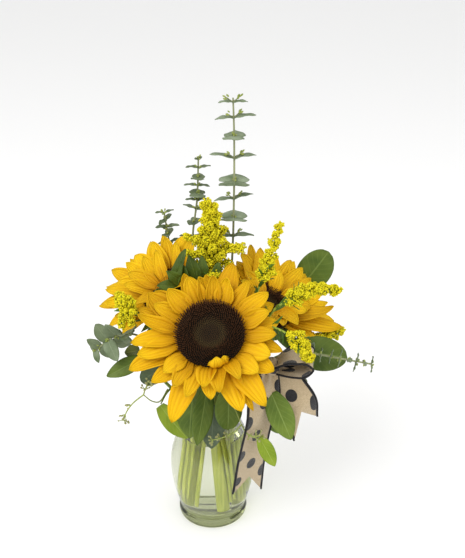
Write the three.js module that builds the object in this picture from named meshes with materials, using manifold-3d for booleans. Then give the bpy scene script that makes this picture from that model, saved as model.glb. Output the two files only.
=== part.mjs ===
// Three sunflowers with goldenrod, eucalyptus, broad leaves and a spotted bow in a clear glass vase.
// Millimetres, +Z up. The origin is the middle of the vase's underside and the front is -Y.
import * as THREE from 'three'
import { mergeVertices } from 'three/addons/utils/BufferGeometryUtils.js'
import Module from 'manifold-3d'

const wasm = await Module()
wasm.setup()

// overall sizes
const vaseHeight = 148
const bellyRadius = 45
const neckRadius = 30
const rimRadius = 38
const footRadius = 37
const wall = 2.4
const baseThick = 12.6
const waterLevel = 104
const bouquetTop = 452
const clearance = 0.3

// sunflower heads
const discRadius = 32
const petalThick = 1.1
const petalWidth = 16
const collarThick = 1.8
const collarRadius = discRadius + 3.5
const cupDepth = 17

// stems and foliage
const flowerStem = 5.4
const sprayStem = 2.1
const twigStem = 1.6
const leafThick = 1
const ribbonWidth = 38
const ribbonThick = 1

const vec = (p) => new THREE.Vector3(p[0], p[1], p[2])
const rad = THREE.MathUtils.degToRad

// a closed geometry as a solid that can be joined and cut
function solidOf(geometry) {
  const bare = geometry.index ? geometry.toNonIndexed() : geometry.clone()
  bare.deleteAttribute('normal')
  bare.deleteAttribute('uv')
  const joined = mergeVertices(bare, 1e-4)
  const index = joined.index.array
  const corners = []
  for (let i = 0; i < index.length; i += 3) {
    const [a, b, c] = [index[i], index[i + 1], index[i + 2]]
    if (a !== b && b !== c && c !== a) corners.push(a, b, c)
  }
  const mesh = new wasm.Mesh({
    numProp: 3,
    vertProperties: new Float32Array(joined.attributes.position.array),
    triVerts: new Uint32Array(corners)
  })
  return new wasm.Manifold(mesh)
}

function geometryOf(solid) {
  const mesh = solid.getMesh()
  const geometry = new THREE.BufferGeometry()
  const points = new THREE.BufferAttribute(new Float32Array(mesh.vertProperties), 3)
  geometry.setAttribute('position', points)
  geometry.setIndex(new THREE.BufferAttribute(new Uint32Array(mesh.triVerts), 1))
  geometry.computeVertexNormals()
  return geometry
}

function join(solids) {
  return solids.reduce((sum, next) => sum.add(next))
}

// the biggest closed body of a solid that a cut has left in several
function biggest(solid) {
  const bodies = solid.decompose()
  let best = bodies[0]
  for (const body of bodies) {
    if (body.volume() > best.volume()) best = body
  }
  return best
}

function lathe(profile, sides) {
  const points = profile.map((p) => new THREE.Vector2(p[0], p[1]))
  const geometry = new THREE.LatheGeometry(points, sides)
  geometry.rotateX(Math.PI / 2)
  return geometry
}

// a round stem through the given points
function stem(points, radius, sides = 8, steps = 12) {
  const corners = []
  for (let i = 0; i < sides; i++) {
    const angle = (2 * Math.PI * i) / sides
    corners.push(new THREE.Vector2(radius * Math.cos(angle), radius * Math.sin(angle)))
  }
  const path = new THREE.CatmullRomCurve3(points.map(vec), false, 'centripetal')
  const settings = { steps, extrudePath: path, bevelEnabled: false }
  return solidOf(new THREE.ExtrudeGeometry(new THREE.Shape(corners), settings))
}

// a petal or leaf along +X with its upper face to +Z: it lifts, curls and cups as it goes out
function blade(shape, extra = 0) {
  const { length, width, thick, lift = 0, curl = 0, cup = 0, base = 0.22 } = shape
  const { along = 3, across = 2, fullness = 0.8 } = shape
  const geometry = new THREE.BoxGeometry(1, 1, 1, along, across, 1)
  const position = geometry.attributes.position
  const span = length + extra
  for (let i = 0; i < position.count; i++) {
    const out = position.getX(i) + 0.5
    const side = position.getY(i) * 2
    const face = position.getZ(i) * 2
    let x = 0
    let z = 0
    const pieces = 16
    for (let n = 0; n < pieces; n++) {
      const angle = rad(lift + (curl * out * (n + 0.5)) / pieces)
      x += (Math.cos(angle) * out * span) / pieces
      z += (Math.sin(angle) * out * span) / pieces
    }
    const angle = rad(lift + curl * out)
    const swell = Math.pow(Math.max(Math.sin(Math.PI * (base + (1 - base) * out)), 0), fullness)
    const half = Math.max((width / 2) * swell, 0.6) + extra
    const rise = cup * half * side * side + face * (thick / 2 + extra)
    position.setXYZ(i, x - Math.sin(angle) * rise, half * side, z + Math.cos(angle) * rise)
  }
  return geometry
}

// the turn that lays +X along one direction with +Z as near as it can be to another
function turn(along, facing) {
  const x = along.clone().normalize()
  const z = facing.clone().addScaledVector(x, -facing.dot(x)).normalize()
  const y = new THREE.Vector3().crossVectors(z, x)
  return new THREE.Matrix4().makeBasis(x, y, z)
}

// a leaf from its stalk end to its tip
function leaf(leafShape, extra = 0) {
  const { from, to, face, width, cup = 0.1, curl = -14, base = 0.1, fullness = 0.7 } = leafShape
  const { along = 6, thick = leafThick } = leafShape
  const start = vec(from)
  const direction = vec(to).sub(start)
  const length = direction.length()
  const shape = { length, width, thick, lift: -curl / 2, curl, cup, base, along, fullness }
  const geometry = blade(shape, extra)
  geometry.applyMatrix4(turn(direction, vec(face)).setPosition(start))
  return solidOf(geometry)
}

function ellipsoid(centre, along, length, radius, extra = 0) {
  const geometry = new THREE.SphereGeometry(1, 6, 3)
  geometry.rotateX(Math.PI / 2)
  geometry.rotateY(Math.PI / 2)
  geometry.scale(length / 2 + extra, radius + extra, radius + extra)
  const facing = Math.abs(along.z) > 0.8 * along.length() ? [0, 1, 0] : [0, 0, 1]
  geometry.applyMatrix4(turn(along, vec(facing)).setPosition(centre))
  return solidOf(geometry)
}

// --- vase and water

// heights up the vase follow its overall height, and the bouquet rises and sinks with its neck
const growth = vaseHeight / 148
const bundleHeight = 122
const raised = bundleHeight * (growth - 1)

const vaseOuter = [
  [0, 0],
  [footRadius - 4, 0],
  [footRadius - 0.6, 3 * growth],
  [footRadius, 6.5 * growth],
  [footRadius - 1.7, 11.6 * growth],
  [bellyRadius - 6.6, 23 * growth],
  [bellyRadius - 2.2, 42 * growth],
  [bellyRadius, 64 * growth],
  [bellyRadius - 1.5, 80 * growth],
  [bellyRadius - 6, 95 * growth],
  [neckRadius + 3, 109 * growth],
  [neckRadius, 120 * growth],
  [neckRadius + 1, 128 * growth],
  [neckRadius + 4.2, 137 * growth],
  [rimRadius, vaseHeight - 1.5],
  [rimRadius - 0.8, vaseHeight]
]
const vaseInner = [
  [rimRadius - wall, vaseHeight - 1],
  [neckRadius + 4.2 - wall, 137.4 * growth],
  [neckRadius + 1 - wall, 128.4 * growth],
  [neckRadius - wall, 120 * growth],
  [neckRadius + 3 - wall, 108.4 * growth],
  [bellyRadius - 6.2 - wall, 94.2 * growth],
  [bellyRadius - 1.6 - wall, 79.6 * growth],
  [bellyRadius - wall, 64 * growth],
  [bellyRadius - 2.2 - wall, 42.4 * growth],
  [bellyRadius - 6.6 - wall, 24.6 * growth],
  [bellyRadius - 13, baseThick + 2.6],
  [0, baseThick]
]

function innerRadius(height) {
  const rows = [...vaseInner].reverse()
  for (let i = 1; i < rows.length; i++) {
    if (height <= rows[i][1]) {
      const share = (height - rows[i - 1][1]) / (rows[i][1] - rows[i - 1][1])
      return rows[i - 1][0] + share * (rows[i][0] - rows[i - 1][0])
    }
  }
  return rows[rows.length - 1][0]
}

function waterProfile() {
  const profile = [[0, baseThick + clearance]]
  for (const [radius, height] of [...vaseInner].reverse()) {
    if (radius > 0 && height < waterLevel - 4) {
      profile.push([radius - clearance, height + clearance])
    }
  }
  profile.push([innerRadius(waterLevel) - clearance, waterLevel])
  profile.push([0, waterLevel])
  return profile
}

// --- sunflower heads, each built round its own axis with the face to +Z

const discProfile = [
  [0, -5],
  [discRadius - 3, -5],
  [discRadius - 0.2, -1.6],
  [discRadius - 0.6, 2.6],
  [discRadius - 6, 4.8],
  [discRadius - 13, 4.4],
  [discRadius - 19, 1.6],
  [0, 0.8]
]
const innerCollarTop = -5 - clearance
const outerCollarTop = innerCollarTop - collarThick - clearance
const cupTop = outerCollarTop - collarThick - clearance

function collar(top, extra) {
  const inside = collarRadius - 12 - extra
  const outside = collarRadius + extra
  return solidOf(lathe([
    [inside, top - collarThick - extra],
    [outside, top - collarThick - extra],
    [outside, top + extra],
    [inside, top + extra],
    [inside, top - collarThick - extra]
  ], 16))
}

// petals are [direction in degrees, reach from the middle of the disc, lift]
function petalRing(petals, top, widest, across, extra = 0) {
  const start = collarRadius - 2.5
  const solids = [collar(top, extra)]
  for (const [direction, reach, lift, curl = -12] of petals) {
    const length = (reach - start) / Math.cos(rad(lift + curl / 2))
    const width = Math.min(widest, length * 0.6)
    const shape = { length, width, thick: petalThick, lift, curl, cup: 0.12 * (across - 1) }
    const geometry = blade({ ...shape, base: 0.12, across }, extra)
    geometry.translate(start, 0, top - collarThick / 2)
    geometry.rotateZ(rad(direction))
    solids.push(solidOf(geometry))
  }
  return join(solids)
}

function bractCup(gap, extra = 0) {
  const solids = [solidOf(lathe([
    [0, cupTop - cupDepth - extra],
    [8 + extra, cupTop - cupDepth - extra],
    [14 + extra, cupTop - cupDepth + 3],
    [collarRadius - 11.5 + extra, cupTop - 6],
    [collarRadius - 2.5 + extra, cupTop - 1.5],
    [collarRadius - 2.5 + extra, cupTop + extra],
    [0, cupTop + extra]
  ], 16))]
  const bracts = 9
  for (let i = 0; i < bracts; i++) {
    const direction = (360 * (i + 0.3)) / bracts
    const away = Math.abs(((direction - gap + 540) % 360) - 180)
    const length = away < 50 ? 14 : 27 + 4 * Math.sin(i * 2.4)
    const shape = { length, width: 11, thick: 1.4, lift: -6, curl: 10, base: 0.3 }
    const geometry = blade({ ...shape, along: 2, across: 1 }, extra)
    geometry.translate(collarRadius - 15.5, 0, cupTop - 5)
    geometry.rotateZ(rad(direction))
    solids.push(solidOf(geometry))
  }
  return join(solids)
}

const flowers = {
  front: {
    at: [1, -70, 260],
    facing: [-0.086, -0.61, 0.788],
    gap: 400,
    outer: [
      [79, 76, 14], [58, 69, 12], [35, 66, 12], [14, 64, 12], [-6, 67, 8], [-28, 66, 4],
      [-46, 82, 0], [-62, 76, 0], [-87, 60, 6], [-111, 84, -6], [-132, 69, 4], [-152, 80, 6],
      [-173, 75, 8], [165, 71, 10], [146, 70, 12], [122, 68, 14], [99, 62, 16]
    ],
    inner: [
      [89, 56, 34], [67, 58, 32], [45, 66, 22], [24, 58, 24], [4, 60, 22], [-17, 60, 20],
      [-38, 59, 24], [-72, 56, 30], [-100, 60, 22], [-136, 55, 26], [-162, 68, 18],
      [176, 66, 20], [154, 64, 22], [133, 60, 28], [112, 57, 32]
    ]
  },
  left: {
    at: [-43, -4, 271],
    facing: [-0.56, -0.3, 0.77],
    gap: -20,
    outer: [
      [-104, 62, 14], [-119, 72, 18], [-134, 77, 32], [-148, 76, 36], [-164, 77, 22],
      [-180, 76, 14], [162, 74, 20], [146, 73, 18], [131, 72, 14], [115, 60, 20]
    ],
    inner: [
      [-111, 58, 28], [-127, 64, 34], [-142, 64, 44], [-157, 63, 36], [-172, 64, 30],
      [171, 63, 34], [154, 62, 32], [138, 62, 28]
    ]
  },
  right: {
    at: [56, -9, 256],
    facing: [0.52, -0.32, 0.79],
    gap: 200,
    outer: [
      [76, 50, 16], [60, 70, 14], [44, 72, 12], [28, 72, 16], [13, 76, 20], [-2, 74, 22],
      [-17, 73, 20], [-31, 77, 18], [-45, 77, 22], [-60, 77, 32], [-75, 66, 24]
    ],
    inner: [
      [69, 60, 28], [52, 62, 28], [36, 60, 30], [20, 62, 32], [5, 63, 34], [-10, 62, 34],
      [-24, 63, 32], [-38, 64, 34], [-52, 64, 42]
    ]
  }
}

function headMatrix(flower) {
  const facing = vec(flower.facing).normalize()
  const across = new THREE.Vector3(0, 0, 1).cross(facing).normalize()
  const upward = new THREE.Vector3().crossVectors(facing, across)
  return new THREE.Matrix4().makeBasis(across, upward, facing).setPosition(vec(flower.at))
}

// a solid built round the head's own axis, carried to where the head sits
function onHead(flower, solid) {
  const geometry = geometryOf(solid)
  geometry.applyMatrix4(headMatrix(flower))
  return solidOf(geometry)
}

function stalkTop(flower) {
  const back = cupTop - cupDepth
  const facing = vec(flower.facing).normalize()
  const end = vec(flower.at).addScaledVector(facing, back - clearance)
  const bend = end.clone().addScaledVector(facing, -12)
  return [bend.toArray(), end.toArray()]
}

// --- stems below the flowers, from the vase floor up through the neck

const stemFoot = { left: [-19, -3], right: [15, 0] }
const stemNeck = { left: [-12, 2], right: [11, -1] }

// every stem keeps its place in its bundle between the neck and the vase floor
function rooted(side, neck, floorHeight) {
  const spread = 0.8
  const x = stemFoot[side][0] + spread * (neck[0] - stemNeck[side][0])
  const y = stemFoot[side][1] + spread * (neck[1] - stemNeck[side][1])
  return [[x, y, floorHeight - raised], [neck[0], neck[1], bundleHeight]]
}

// --- what is made, in the order in which a later piece gives way to an earlier one

const made = []
const part = new THREE.Group()

function add(name, colour, roughness, shape) {
  const lifted = name === 'vase' || name === 'water' ? 0 : raised
  const build = (extra) => shape(extra).translate([0, 0, lifted])
  let solid = build(0)
  for (const earlier of made) {
    if (boxesMeet(solid.boundingBox(), earlier.boundingBox())) solid = solid.subtract(earlier)
  }
  solid = biggest(solid)
  made.push(build(clearance))
  const material = new THREE.MeshStandardMaterial({ color: colour, roughness, metalness: 0 })
  const mesh = new THREE.Mesh(geometryOf(solid), material)
  mesh.name = name
  part.add(mesh)
}

function boxesMeet(a, b) {
  for (let k = 0; k < 3; k++) {
    if (a.min[k] > b.max[k] || b.min[k] > a.max[k]) return false
  }
  return true
}

function vaseSolid(extra) {
  const outer = vaseOuter.map(([r, h]) => {
    if (h > vaseHeight - 1) return [r, h + extra]
    return [r > 0 ? r + extra : 0, h < 1 ? h - extra : h]
  })
  const inner = vaseInner.map(([r, h]) => [Math.max(r - extra, 0), h + extra])
  return solidOf(lathe([...outer, ...inner], 32))
}

add('vase', 0xdfe6e2, 0.05, vaseSolid)

for (const [name, flower] of Object.entries(flowers)) {
  const head = (builder) => (extra) => onHead(flower, builder(extra))
  const disc = (extra) => solidOf(lathe(
    discProfile.map(([r, h]) => [r > 0 ? r + extra : 0, h < 0 ? h - extra : h + extra]), 24))
  add(`${name}_disc`, 0x2c1a12, 0.9, head(disc))
  add(`${name}_bract_cup`, 0x5f7f35, 0.8, head((extra) => bractCup(flower.gap, extra)))
}

const flowerStems = {
  front: ['right', [3, -14.5], 15, [[4, -17, 150], [6, -27, 185], [7, -41, 215]]],
  left: ['left', [-12, 4], 17, [[-14, 7, 150], [-17, 9, 190], [-18, 10, 222]]],
  right: ['right', [14, 5], 16, [[17, 6, 150], [22, 6, 185], [30, 6, 208]]]
}
for (const [name, [side, neck, floor, middle]] of Object.entries(flowerStems)) {
  const points = [...rooted(side, neck, floor), ...middle, ...stalkTop(flowers[name])]
  add(`${name}_stem`, 0xa9b95a, 0.6, (extra) => stem(points, flowerStem + extra, 8, 12))
}

for (const [name, flower] of Object.entries(flowers)) {
  const head = (builder) => (extra) => onHead(flower, builder(extra))
  add(`${name}_petals_inner`, 0xf5bd1c, 0.6,
    head((extra) => petalRing(flower.inner, innerCollarTop, petalWidth - 2, 1, extra)))
  add(`${name}_petals_outer`, 0xf0b414, 0.6,
    head((extra) => petalRing(flower.outer, outerCollarTop, petalWidth, 1, extra)))
}

// --- ribbon bow on its pick

const knotAt = [58, -64, 221]

// a flat ribbon along a path, with its width laid along the given directions from start to end
function ribbon({ path, across, pinch = 0.4, pinchEnd = false, notch = 0, wide = ribbonWidth, steps = 10 }, extra) {
  const geometry = new THREE.BoxGeometry(1, 1, 1, steps, 2, 1)
  const position = geometry.attributes.position
  const curve = new THREE.CatmullRomCurve3(path.map(vec), false, 'centripetal')
  const directions = new THREE.CatmullRomCurve3(across.map(vec))
  for (let i = 0; i < position.count; i++) {
    const out = position.getX(i) + 0.5
    const side = position.getY(i) * 2
    const face = position.getZ(i) * 2
    const near = Math.min(out / 0.25, 1)
    const far = pinchEnd ? Math.min((1 - out) / 0.25, 1) : 1
    const half = (wide / 2) * (pinch + (1 - pinch) * Math.min(near, far)) + extra
    const point = curve.getPoint(out)
    const along = curve.getTangent(out)
    const width = directions.getPoint(out)
    width.addScaledVector(along, -width.dot(along)).normalize()
    const normal = new THREE.Vector3().crossVectors(along, width)
    point.addScaledVector(width, side * half)
    point.addScaledVector(normal, face * (ribbonThick / 2 + extra))
    if (out > 0.999) point.addScaledVector(along, extra - notch * (1 - Math.abs(side)))
    if (out < 0.001) point.addScaledVector(along, -extra)
    position.setXYZ(i, point.x, point.y, point.z)
  }
  return solidOf(geometry)
}

const from = (offset) => [knotAt[0] + offset[0], knotAt[1] + offset[1], knotAt[2] + offset[2]]

add('ribbon_knot', 0xb49a76, 0.9, (extra) => {
  const geometry = new THREE.SphereGeometry(1, 10, 6)
  geometry.scale(8 + extra, 8 + extra, 9 + extra)
  geometry.translate(...knotAt)
  return solidOf(geometry)
})

const bow = {
  ribbon_loop_right: {
    path: [[6, -1, 5], [17, -3, 13], [31, -3, 15], [39, -2, 9], [35, -1, 1], [20, 0, -2], [8.4, 0, -1]],
    across: [[0, 1, 0], [0.1, 1, 0.1], [0.1, 1, 0]],
    wide: 34,
    pinchEnd: true
  },
  ribbon_loop_left: {
    path: [[-5, 2, 6], [-11, 3, 11], [-20, 5, 11], [-25, 7, 5], [-22, 7, -3], [-14, 4, -4], [-8.4, 2, -2]],
    across: [[0, 1, 0], [-0.1, 1, 0.1], [0, 1, 0]],
    wide: 24,
    pinchEnd: true
  },
  ribbon_tail_long: {
    path: [[-3, -4, -8], [-3, -12, -20], [-4, -19, -42], [-8, -20, -68], [-14, -17, -94], [-20, -13, -116], [-22, -13, -134]],
    across: [[1, 0.2, 0], [0.75, 0.65, 0], [0.7, 0.7, 0], [0.8, 0.6, 0]],
    notch: 13
  },
  ribbon_tail_short: {
    path: [[6, -1, -6.5], [11, 0, -10], [20, -3, -23], [29, -7, -38], [34, -10, -58]],
    across: [[0.8, 0.3, 0.5], [0.75, 0.35, 0.55], [0.55, 0.5, 0.67]],
    notch: 13,
    steps: 8
  }
}
for (const [name, piece] of Object.entries(bow)) {
  const path = piece.path.map(from)
  add(name, 0xb49a76, 0.9, (extra) => ribbon({ ...piece, path }, extra))
}
const pickPath = [...rooted('right', [9, -20], 60), [14, -28, 150], [30, -42, 185], [50, -56, 210], from([-4.5, 4.5, -6])]
add('ribbon_pick', 0x8a9a54, 0.7, (extra) => stem(pickPath, 1.2 + extra, 6, 14))

// --- broad leaves and the branches that carry them

function branch({ side, neck, floor = 24, path, twigs = [], radius = sprayStem }, extra) {
  const points = [...rooted(side, neck, floor), ...path]
  const solids = [stem(points, radius + extra, 6, 10)]
  for (const twig of twigs) solids.push(stem(twig, 1.1 + extra, 5, 3))
  return join(solids)
}

const branches = {
  foliage_stem_front: {
    side: 'left',
    neck: [-6, -18.5],
    path: [[-7, -24, 150], [-8, -35, 172], [-6, -44, 188]],
    twigs: [[[-8, -35, 172], [-12, -42, 184], [-15, -46, 189]], [[-7, -42, 184], [4, -50, 190], [17, -57, 190]], [[-6, -42, 186], [-5, -48, 190], [-3.6, -51, 190.5]],
      [[-8, -33, 168], [-2, -40, 166], [2, -43, 164]]]
  },
  foliage_stem_left: {
    side: 'left',
    neck: [-20, -9],
    path: [[-27, -14, 150], [-42, -30, 178], [-54, -40, 202], [-66, -40, 220]],
    twigs: [[[-40, -28, 174], [-45, -38, 172], [-49, -46, 167]], [[-52, -38, 198], [-48, -44, 206], [-46, -46, 209]]]
  },
  foliage_stem_right: {
    side: 'right',
    neck: [21, -8],
    path: [[26, -14, 150], [44, -30, 178], [62, -37, 204], [84, -35, 220]],
    twigs: [[[44, -30, 178], [46, -42, 186], [50, -55, 189]], [[58, -36, 199], [63, -38, 204], [67, -40.5, 206]]]
  },
  foliage_stem_back: {
    side: 'right',
    neck: [21, 12],
    path: [[27, 16, 160], [54, 34, 198], [82, 53, 228], [96, 61, 245]]
  }
}
for (const [name, piece] of Object.entries(branches)) {
  add(name, 0x7d9a4a, 0.7, (extra) => branch(piece, extra))
}

const broadLeaves = {
  leaf_front_wide: { from: [-16, -47, 190], to: [-21, -62, 137], face: [-0.25, -0.9, 0.3], width: 29 },
  leaf_front_long: { from: [-3.4, -51.4, 190.3], to: [-13, -74, 137], face: [0.3, -0.9, 0.2], width: 21 },
  leaf_front_round: { from: [18, -58.5, 190], to: [17, -69, 152], face: [0.1, -0.95, 0.3], width: 27, fullness: 0.5 },
  leaf_over_rim: { from: [3, -44, 164], to: [0, -45, 112], face: [0, -1, 0.1], width: 25, curl: -6 },
  leaf_lime_left: { from: [-50, -47.5, 166], to: [-23, -57, 133], face: [-0.3, -0.8, 0.5], width: 20 },
  leaf_left: { from: [-66, -43.5, 217], to: [-99, -56, 205], face: [-0.1, -0.8, 0.6], width: 17 },
  leaf_left_round: { from: [-45, -47.5, 210], to: [-67, -53, 198], face: [0, -0.9, 0.4], width: 21, fullness: 0.5 },
  leaf_olive: { from: [-68, -39, 224], to: [-83, -37, 220], face: [0, -0.8, 0.5], width: 13, along: 4 },
  leaf_right_big: { from: [84.5, -34.8, 220.4], to: [134, -31, 211], face: [0.1, -0.75, 0.6], width: 34, fullness: 0.5 },
  leaf_right_grey: { from: [68.5, -41, 207], to: [94, -50, 195], face: [0.2, -0.6, 0.7], width: 11 },
  leaf_right_front: { from: [60, -74, 198], to: [81, -93, 150], face: [0.1, -0.95, 0.3], width: 26 },
  leaf_right_low: { from: [50.2, -55.4, 189], to: [66, -62, 143], face: [0.1, -0.95, 0.25], width: 22 },
  leaf_back_round: { from: [96, 61, 245.2], to: [122, 70, 279], face: [0.1, -0.9, 0.4], width: 34, fullness: 0.45 },
  leaf_blade_right: { from: [62, -38.5, 206], to: [100, -44, 235], face: [0.3, -0.8, 0.5], width: 9 }
}
const leafColours = {
  leaf_lime_left: 0x7fa02c,
  leaf_over_rim: 0x35564a,
  leaf_left_round: 0x4a6650,
  leaf_right_grey: 0x7b907c,
  leaf_olive: 0x5d6a30
}
for (const [name, shape] of Object.entries(broadLeaves)) {
  add(name, leafColours[name] ?? 0x4f7a3a, 0.5, (extra) => leaf(shape, extra))
}

// --- eucalyptus: paired leaves along a thin stem, each pair a quarter turn from the last

function sprig({ path, leaves, long, wide, turned = 0, radius = twigStem, steps = 10 }, extra) {
  const curve = new THREE.CatmullRomCurve3(path.map(vec), false, 'centripetal')
  const solids = [stem(path, radius + extra, 5, steps)]
  const [first, last, pairs] = leaves
  for (let i = 0; i < pairs; i++) {
    const place = first + ((last - first) * i) / Math.max(pairs - 1, 1)
    const point = curve.getPoint(place)
    const along = curve.getTangent(place)
    const side = new THREE.Vector3(1, 0, 0).addScaledVector(along, -along.x).normalize()
    side.applyAxisAngle(along, rad(turned + 90 * i))
    const scale = 1 - 0.35 * (i / Math.max(pairs - 1, 1))
    for (const sign of [1, -1]) {
      const out = side.clone().multiplyScalar(sign * 0.87).addScaledVector(along, 0.5)
      const tip = point.clone().addScaledVector(out, long * scale)
      const face = along.clone().multiplyScalar(0.87).addScaledVector(side, -0.5 * sign)
      const shape = { from: point.toArray(), to: tip.toArray(), face: face.toArray() }
      solids.push(leafPlate({ ...shape, width: wide * scale }, extra))
    }
  }
  return join(solids)
}

// a small flat leaf with few faces
function leafPlate({ from: start, to, face, width }, extra) {
  const direction = vec(to).sub(vec(start))
  const shape = { length: direction.length(), width, thick: leafThick, lift: 6, curl: -12 }
  const geometry = blade({ ...shape, along: 2, across: 1, base: 0.14, fullness: 0.6 }, extra)
  geometry.applyMatrix4(turn(direction, vec(face)).setPosition(vec(start)))
  return solidOf(geometry)
}

const sprigs = {
  eucalyptus_tall: {
    path: [...rooted('right', [4, 18], 30), [8, 22, 160], [15, 26, 220], [21, 28, 288], [23, 30, 362], [24, 30, bouquetTop - 14]],
    leaves: [0.66, 1, 8],
    long: 22,
    wide: 17
  },
  eucalyptus_back: {
    path: [...rooted('left', [-10, 15], 30), [-11, 24, 180], [-12, 32, 250], [-12, 33, 310], [-10, 33, 360], [-8, 33, 394]],
    leaves: [0.72, 1, 5],
    long: 15,
    wide: 14,
    turned: 30
  },
  eucalyptus_left_back: {
    path: [...rooted('left', [-17, 13], 30), [-24, 28, 170], [-36, 58, 235], [-44, 76, 282], [-47, 74, 322]],
    leaves: [0.78, 1, 4],
    long: 16,
    wide: 14,
    turned: 20
  },
  eucalyptus_left_drooping: {
    path: [...rooted('left', [-14, -9], 30), [-18, -18, 150], [-30, -38, 190], [-52, -47, 232], [-72, -45, 245],
      [-92, -43, 241], [-110, -45, 227]],
    leaves: [0.76, 1, 4],
    long: 20,
    wide: 16,
    turned: 50
  },
  eucalyptus_right: {
    path: [...rooted('right', [15.5, -18.5], 30), [22, -27, 150], [40, -38, 190], [61, -45, 217], [80, -45, 223],
      [100, -48, 225], [129, -51, 221], [155, -50, 215]],
    leaves: [0.74, 1, 5],
    long: 13,
    wide: 7,
    turned: 60
  }
}
for (const [name, piece] of Object.entries(sprigs)) {
  add(name, 0x5f7c68, 0.6, (extra) => sprig(piece, extra))
}

// --- goldenrod: a thin stem whose upper end carries slanting tufts of small flowers

function goldenrod({ side, neck, path, start, tufts, long, thick, floor = 26, lobes = [] }, extra) {
  const points = [...rooted(side, neck, floor), ...path]
  const curve = new THREE.CatmullRomCurve3(points.map(vec), false, 'centripetal')
  const solids = [stem(points, sprayStem - 0.4 + extra, 5, 10)]
  for (let i = 0; i < tufts; i++) {
    const share = i / (tufts - 1)
    const point = curve.getPoint(start + (0.985 - start) * share)
    const along = curve.getTangent(start + (1 - start) * share)
    const away = new THREE.Vector3(0.3, -1, 0.2).addScaledVector(along, 0.3 * along.y).normalize()
    away.addScaledVector(along, -away.dot(along)).normalize()
    away.applyAxisAngle(along, rad(137.5 * i))
    const out = away.multiplyScalar(0.75 * (1 - 0.6 * share)).addScaledVector(along, 0.7).normalize()
    const length = long * (1 - 0.45 * share)
    const centre = point.clone().addScaledVector(out, length * 0.34)
    solids.push(ellipsoid(centre, out, length, thick * (1 - 0.3 * share), extra))
  }
  for (const [at, towards, length] of lobes) {
    solids.push(ellipsoid(vec(at), vec(towards), length, thick, extra))
  }
  return join(solids)
}

const sprays = {
  goldenrod_tall: {
    side: 'left',
    neck: [-3, 13],
    path: [[-2, 13, 170], [0, 10, 230], [2, 8, 290], [0, 8, 353]],
    start: 0.8,
    tufts: 9,
    long: 36,
    thick: 8.5,
    lobes: [[[16, 6, 312], [1, 0, 0.5], 26], [[-12, 6, 318], [-0.8, 0, 0.7], 26]]
  },
  goldenrod_upright: {
    side: 'right',
    neck: [11, -15.5],
    path: [[13, -22, 150], [24, -36, 200], [30, -42, 245], [40, -34, 272], [48, -27, 290], [56, -18, 310], [66, -8, 342]],
    start: 0.76,
    tufts: 6,
    long: 22,
    thick: 4.6
  },
  goldenrod_right: {
    side: 'right',
    neck: [19, -13],
    path: [[24, -24, 155], [36, -33, 205], [46, -44, 240], [60, -47, 272], [76, -48, 284], [94, -48, 293], [118, -45, 292]],
    start: 0.72,
    tufts: 6,
    long: 24,
    thick: 4.8
  },
  goldenrod_low_right: {
    side: 'right',
    neck: [14.5, -11],
    path: [[19, -20, 150], [30, -35, 200], [39, -39, 232], [52, -57, 260], [70, -72, 262], [84, -79, 252], [92, -81, 240]],
    start: 0.8,
    tufts: 5,
    long: 20,
    thick: 4.8
  },
  goldenrod_right_back: {
    side: 'right',
    neck: [22, -1.5],
    path: [[28, -4, 155], [50, -12, 190], [78, -14, 208], [104, -12, 219], [130, -8, 227]],
    start: 0.78,
    tufts: 5,
    long: 20,
    thick: 4.4
  },
  goldenrod_left: {
    side: 'left',
    neck: [-21, 4],
    path: [[-25, -5, 150], [-35, -24, 190], [-48, -36, 232], [-62, -38, 256], [-75, -44, 272], [-82, -51, 286]],
    start: 0.83,
    tufts: 6,
    long: 19,
    thick: 5.4,
    lobes: [[[-79, -52, 270], [-0.2, -0.1, -1], 28]]
  },
  goldenrod_middle: {
    side: 'left',
    neck: [-4, 1],
    path: [[-4, 0, 170], [-3, -3, 230], [1, -9, 276], [3, -10, 290]],
    start: 0.93,
    tufts: 4,
    long: 15,
    thick: 5.6
  }
}
for (const [name, piece] of Object.entries(sprays)) {
  add(name, 0xc9c21f, 0.9, (extra) => goldenrod(piece, extra))
}

// --- thin budded twigs in front of the neck and to the left

const buddedTwigs = {
  budded_twig_left: [
    [[-43, -32, 175], [-50, -48, 171], [-57, -56, 177], [-64, -62, 188]],
    [[-64, -62, 188], [-62, -61, 194], [-59, -60, 201]],
    [[-64, -62, 188], [-74, -64, 180], [-81, -65, 170], [-84, -66, 161]]
  ],
  budded_twig_front: [
    [[8, -54, 191.5], [16, -64, 190], [24, -75, 180], [30, -84, 169]],
    [[30, -84, 169], [35, -97, 168], [41, -98.5, 165], [46.5, -93, 162]],
    [[30, -84, 169], [22, -81, 157], [12, -80, 151], [2, -80, 148]]
  ]
}
for (const [name, paths] of Object.entries(buddedTwigs)) {
  add(name, 0x8fa35a, 0.7, (extra) => join(paths.map((path) => stem(path, 0.9 + extra, 5, 5))))
}
add('leaf_lime_right', 0x86a72c, 0.5, (extra) => leaf({
  from: [47, -93.5, 161],
  to: [62, -98, 131],
  face: [0.2, -0.9, 0.4],
  width: 15
}, extra))

// --- water fills the vase round the stems

made.shift()
add('water', 0xe6ece6, 0.02, () => solidOf(lathe(waterProfile(), 16)))

export default part
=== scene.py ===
import math
import random

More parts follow.
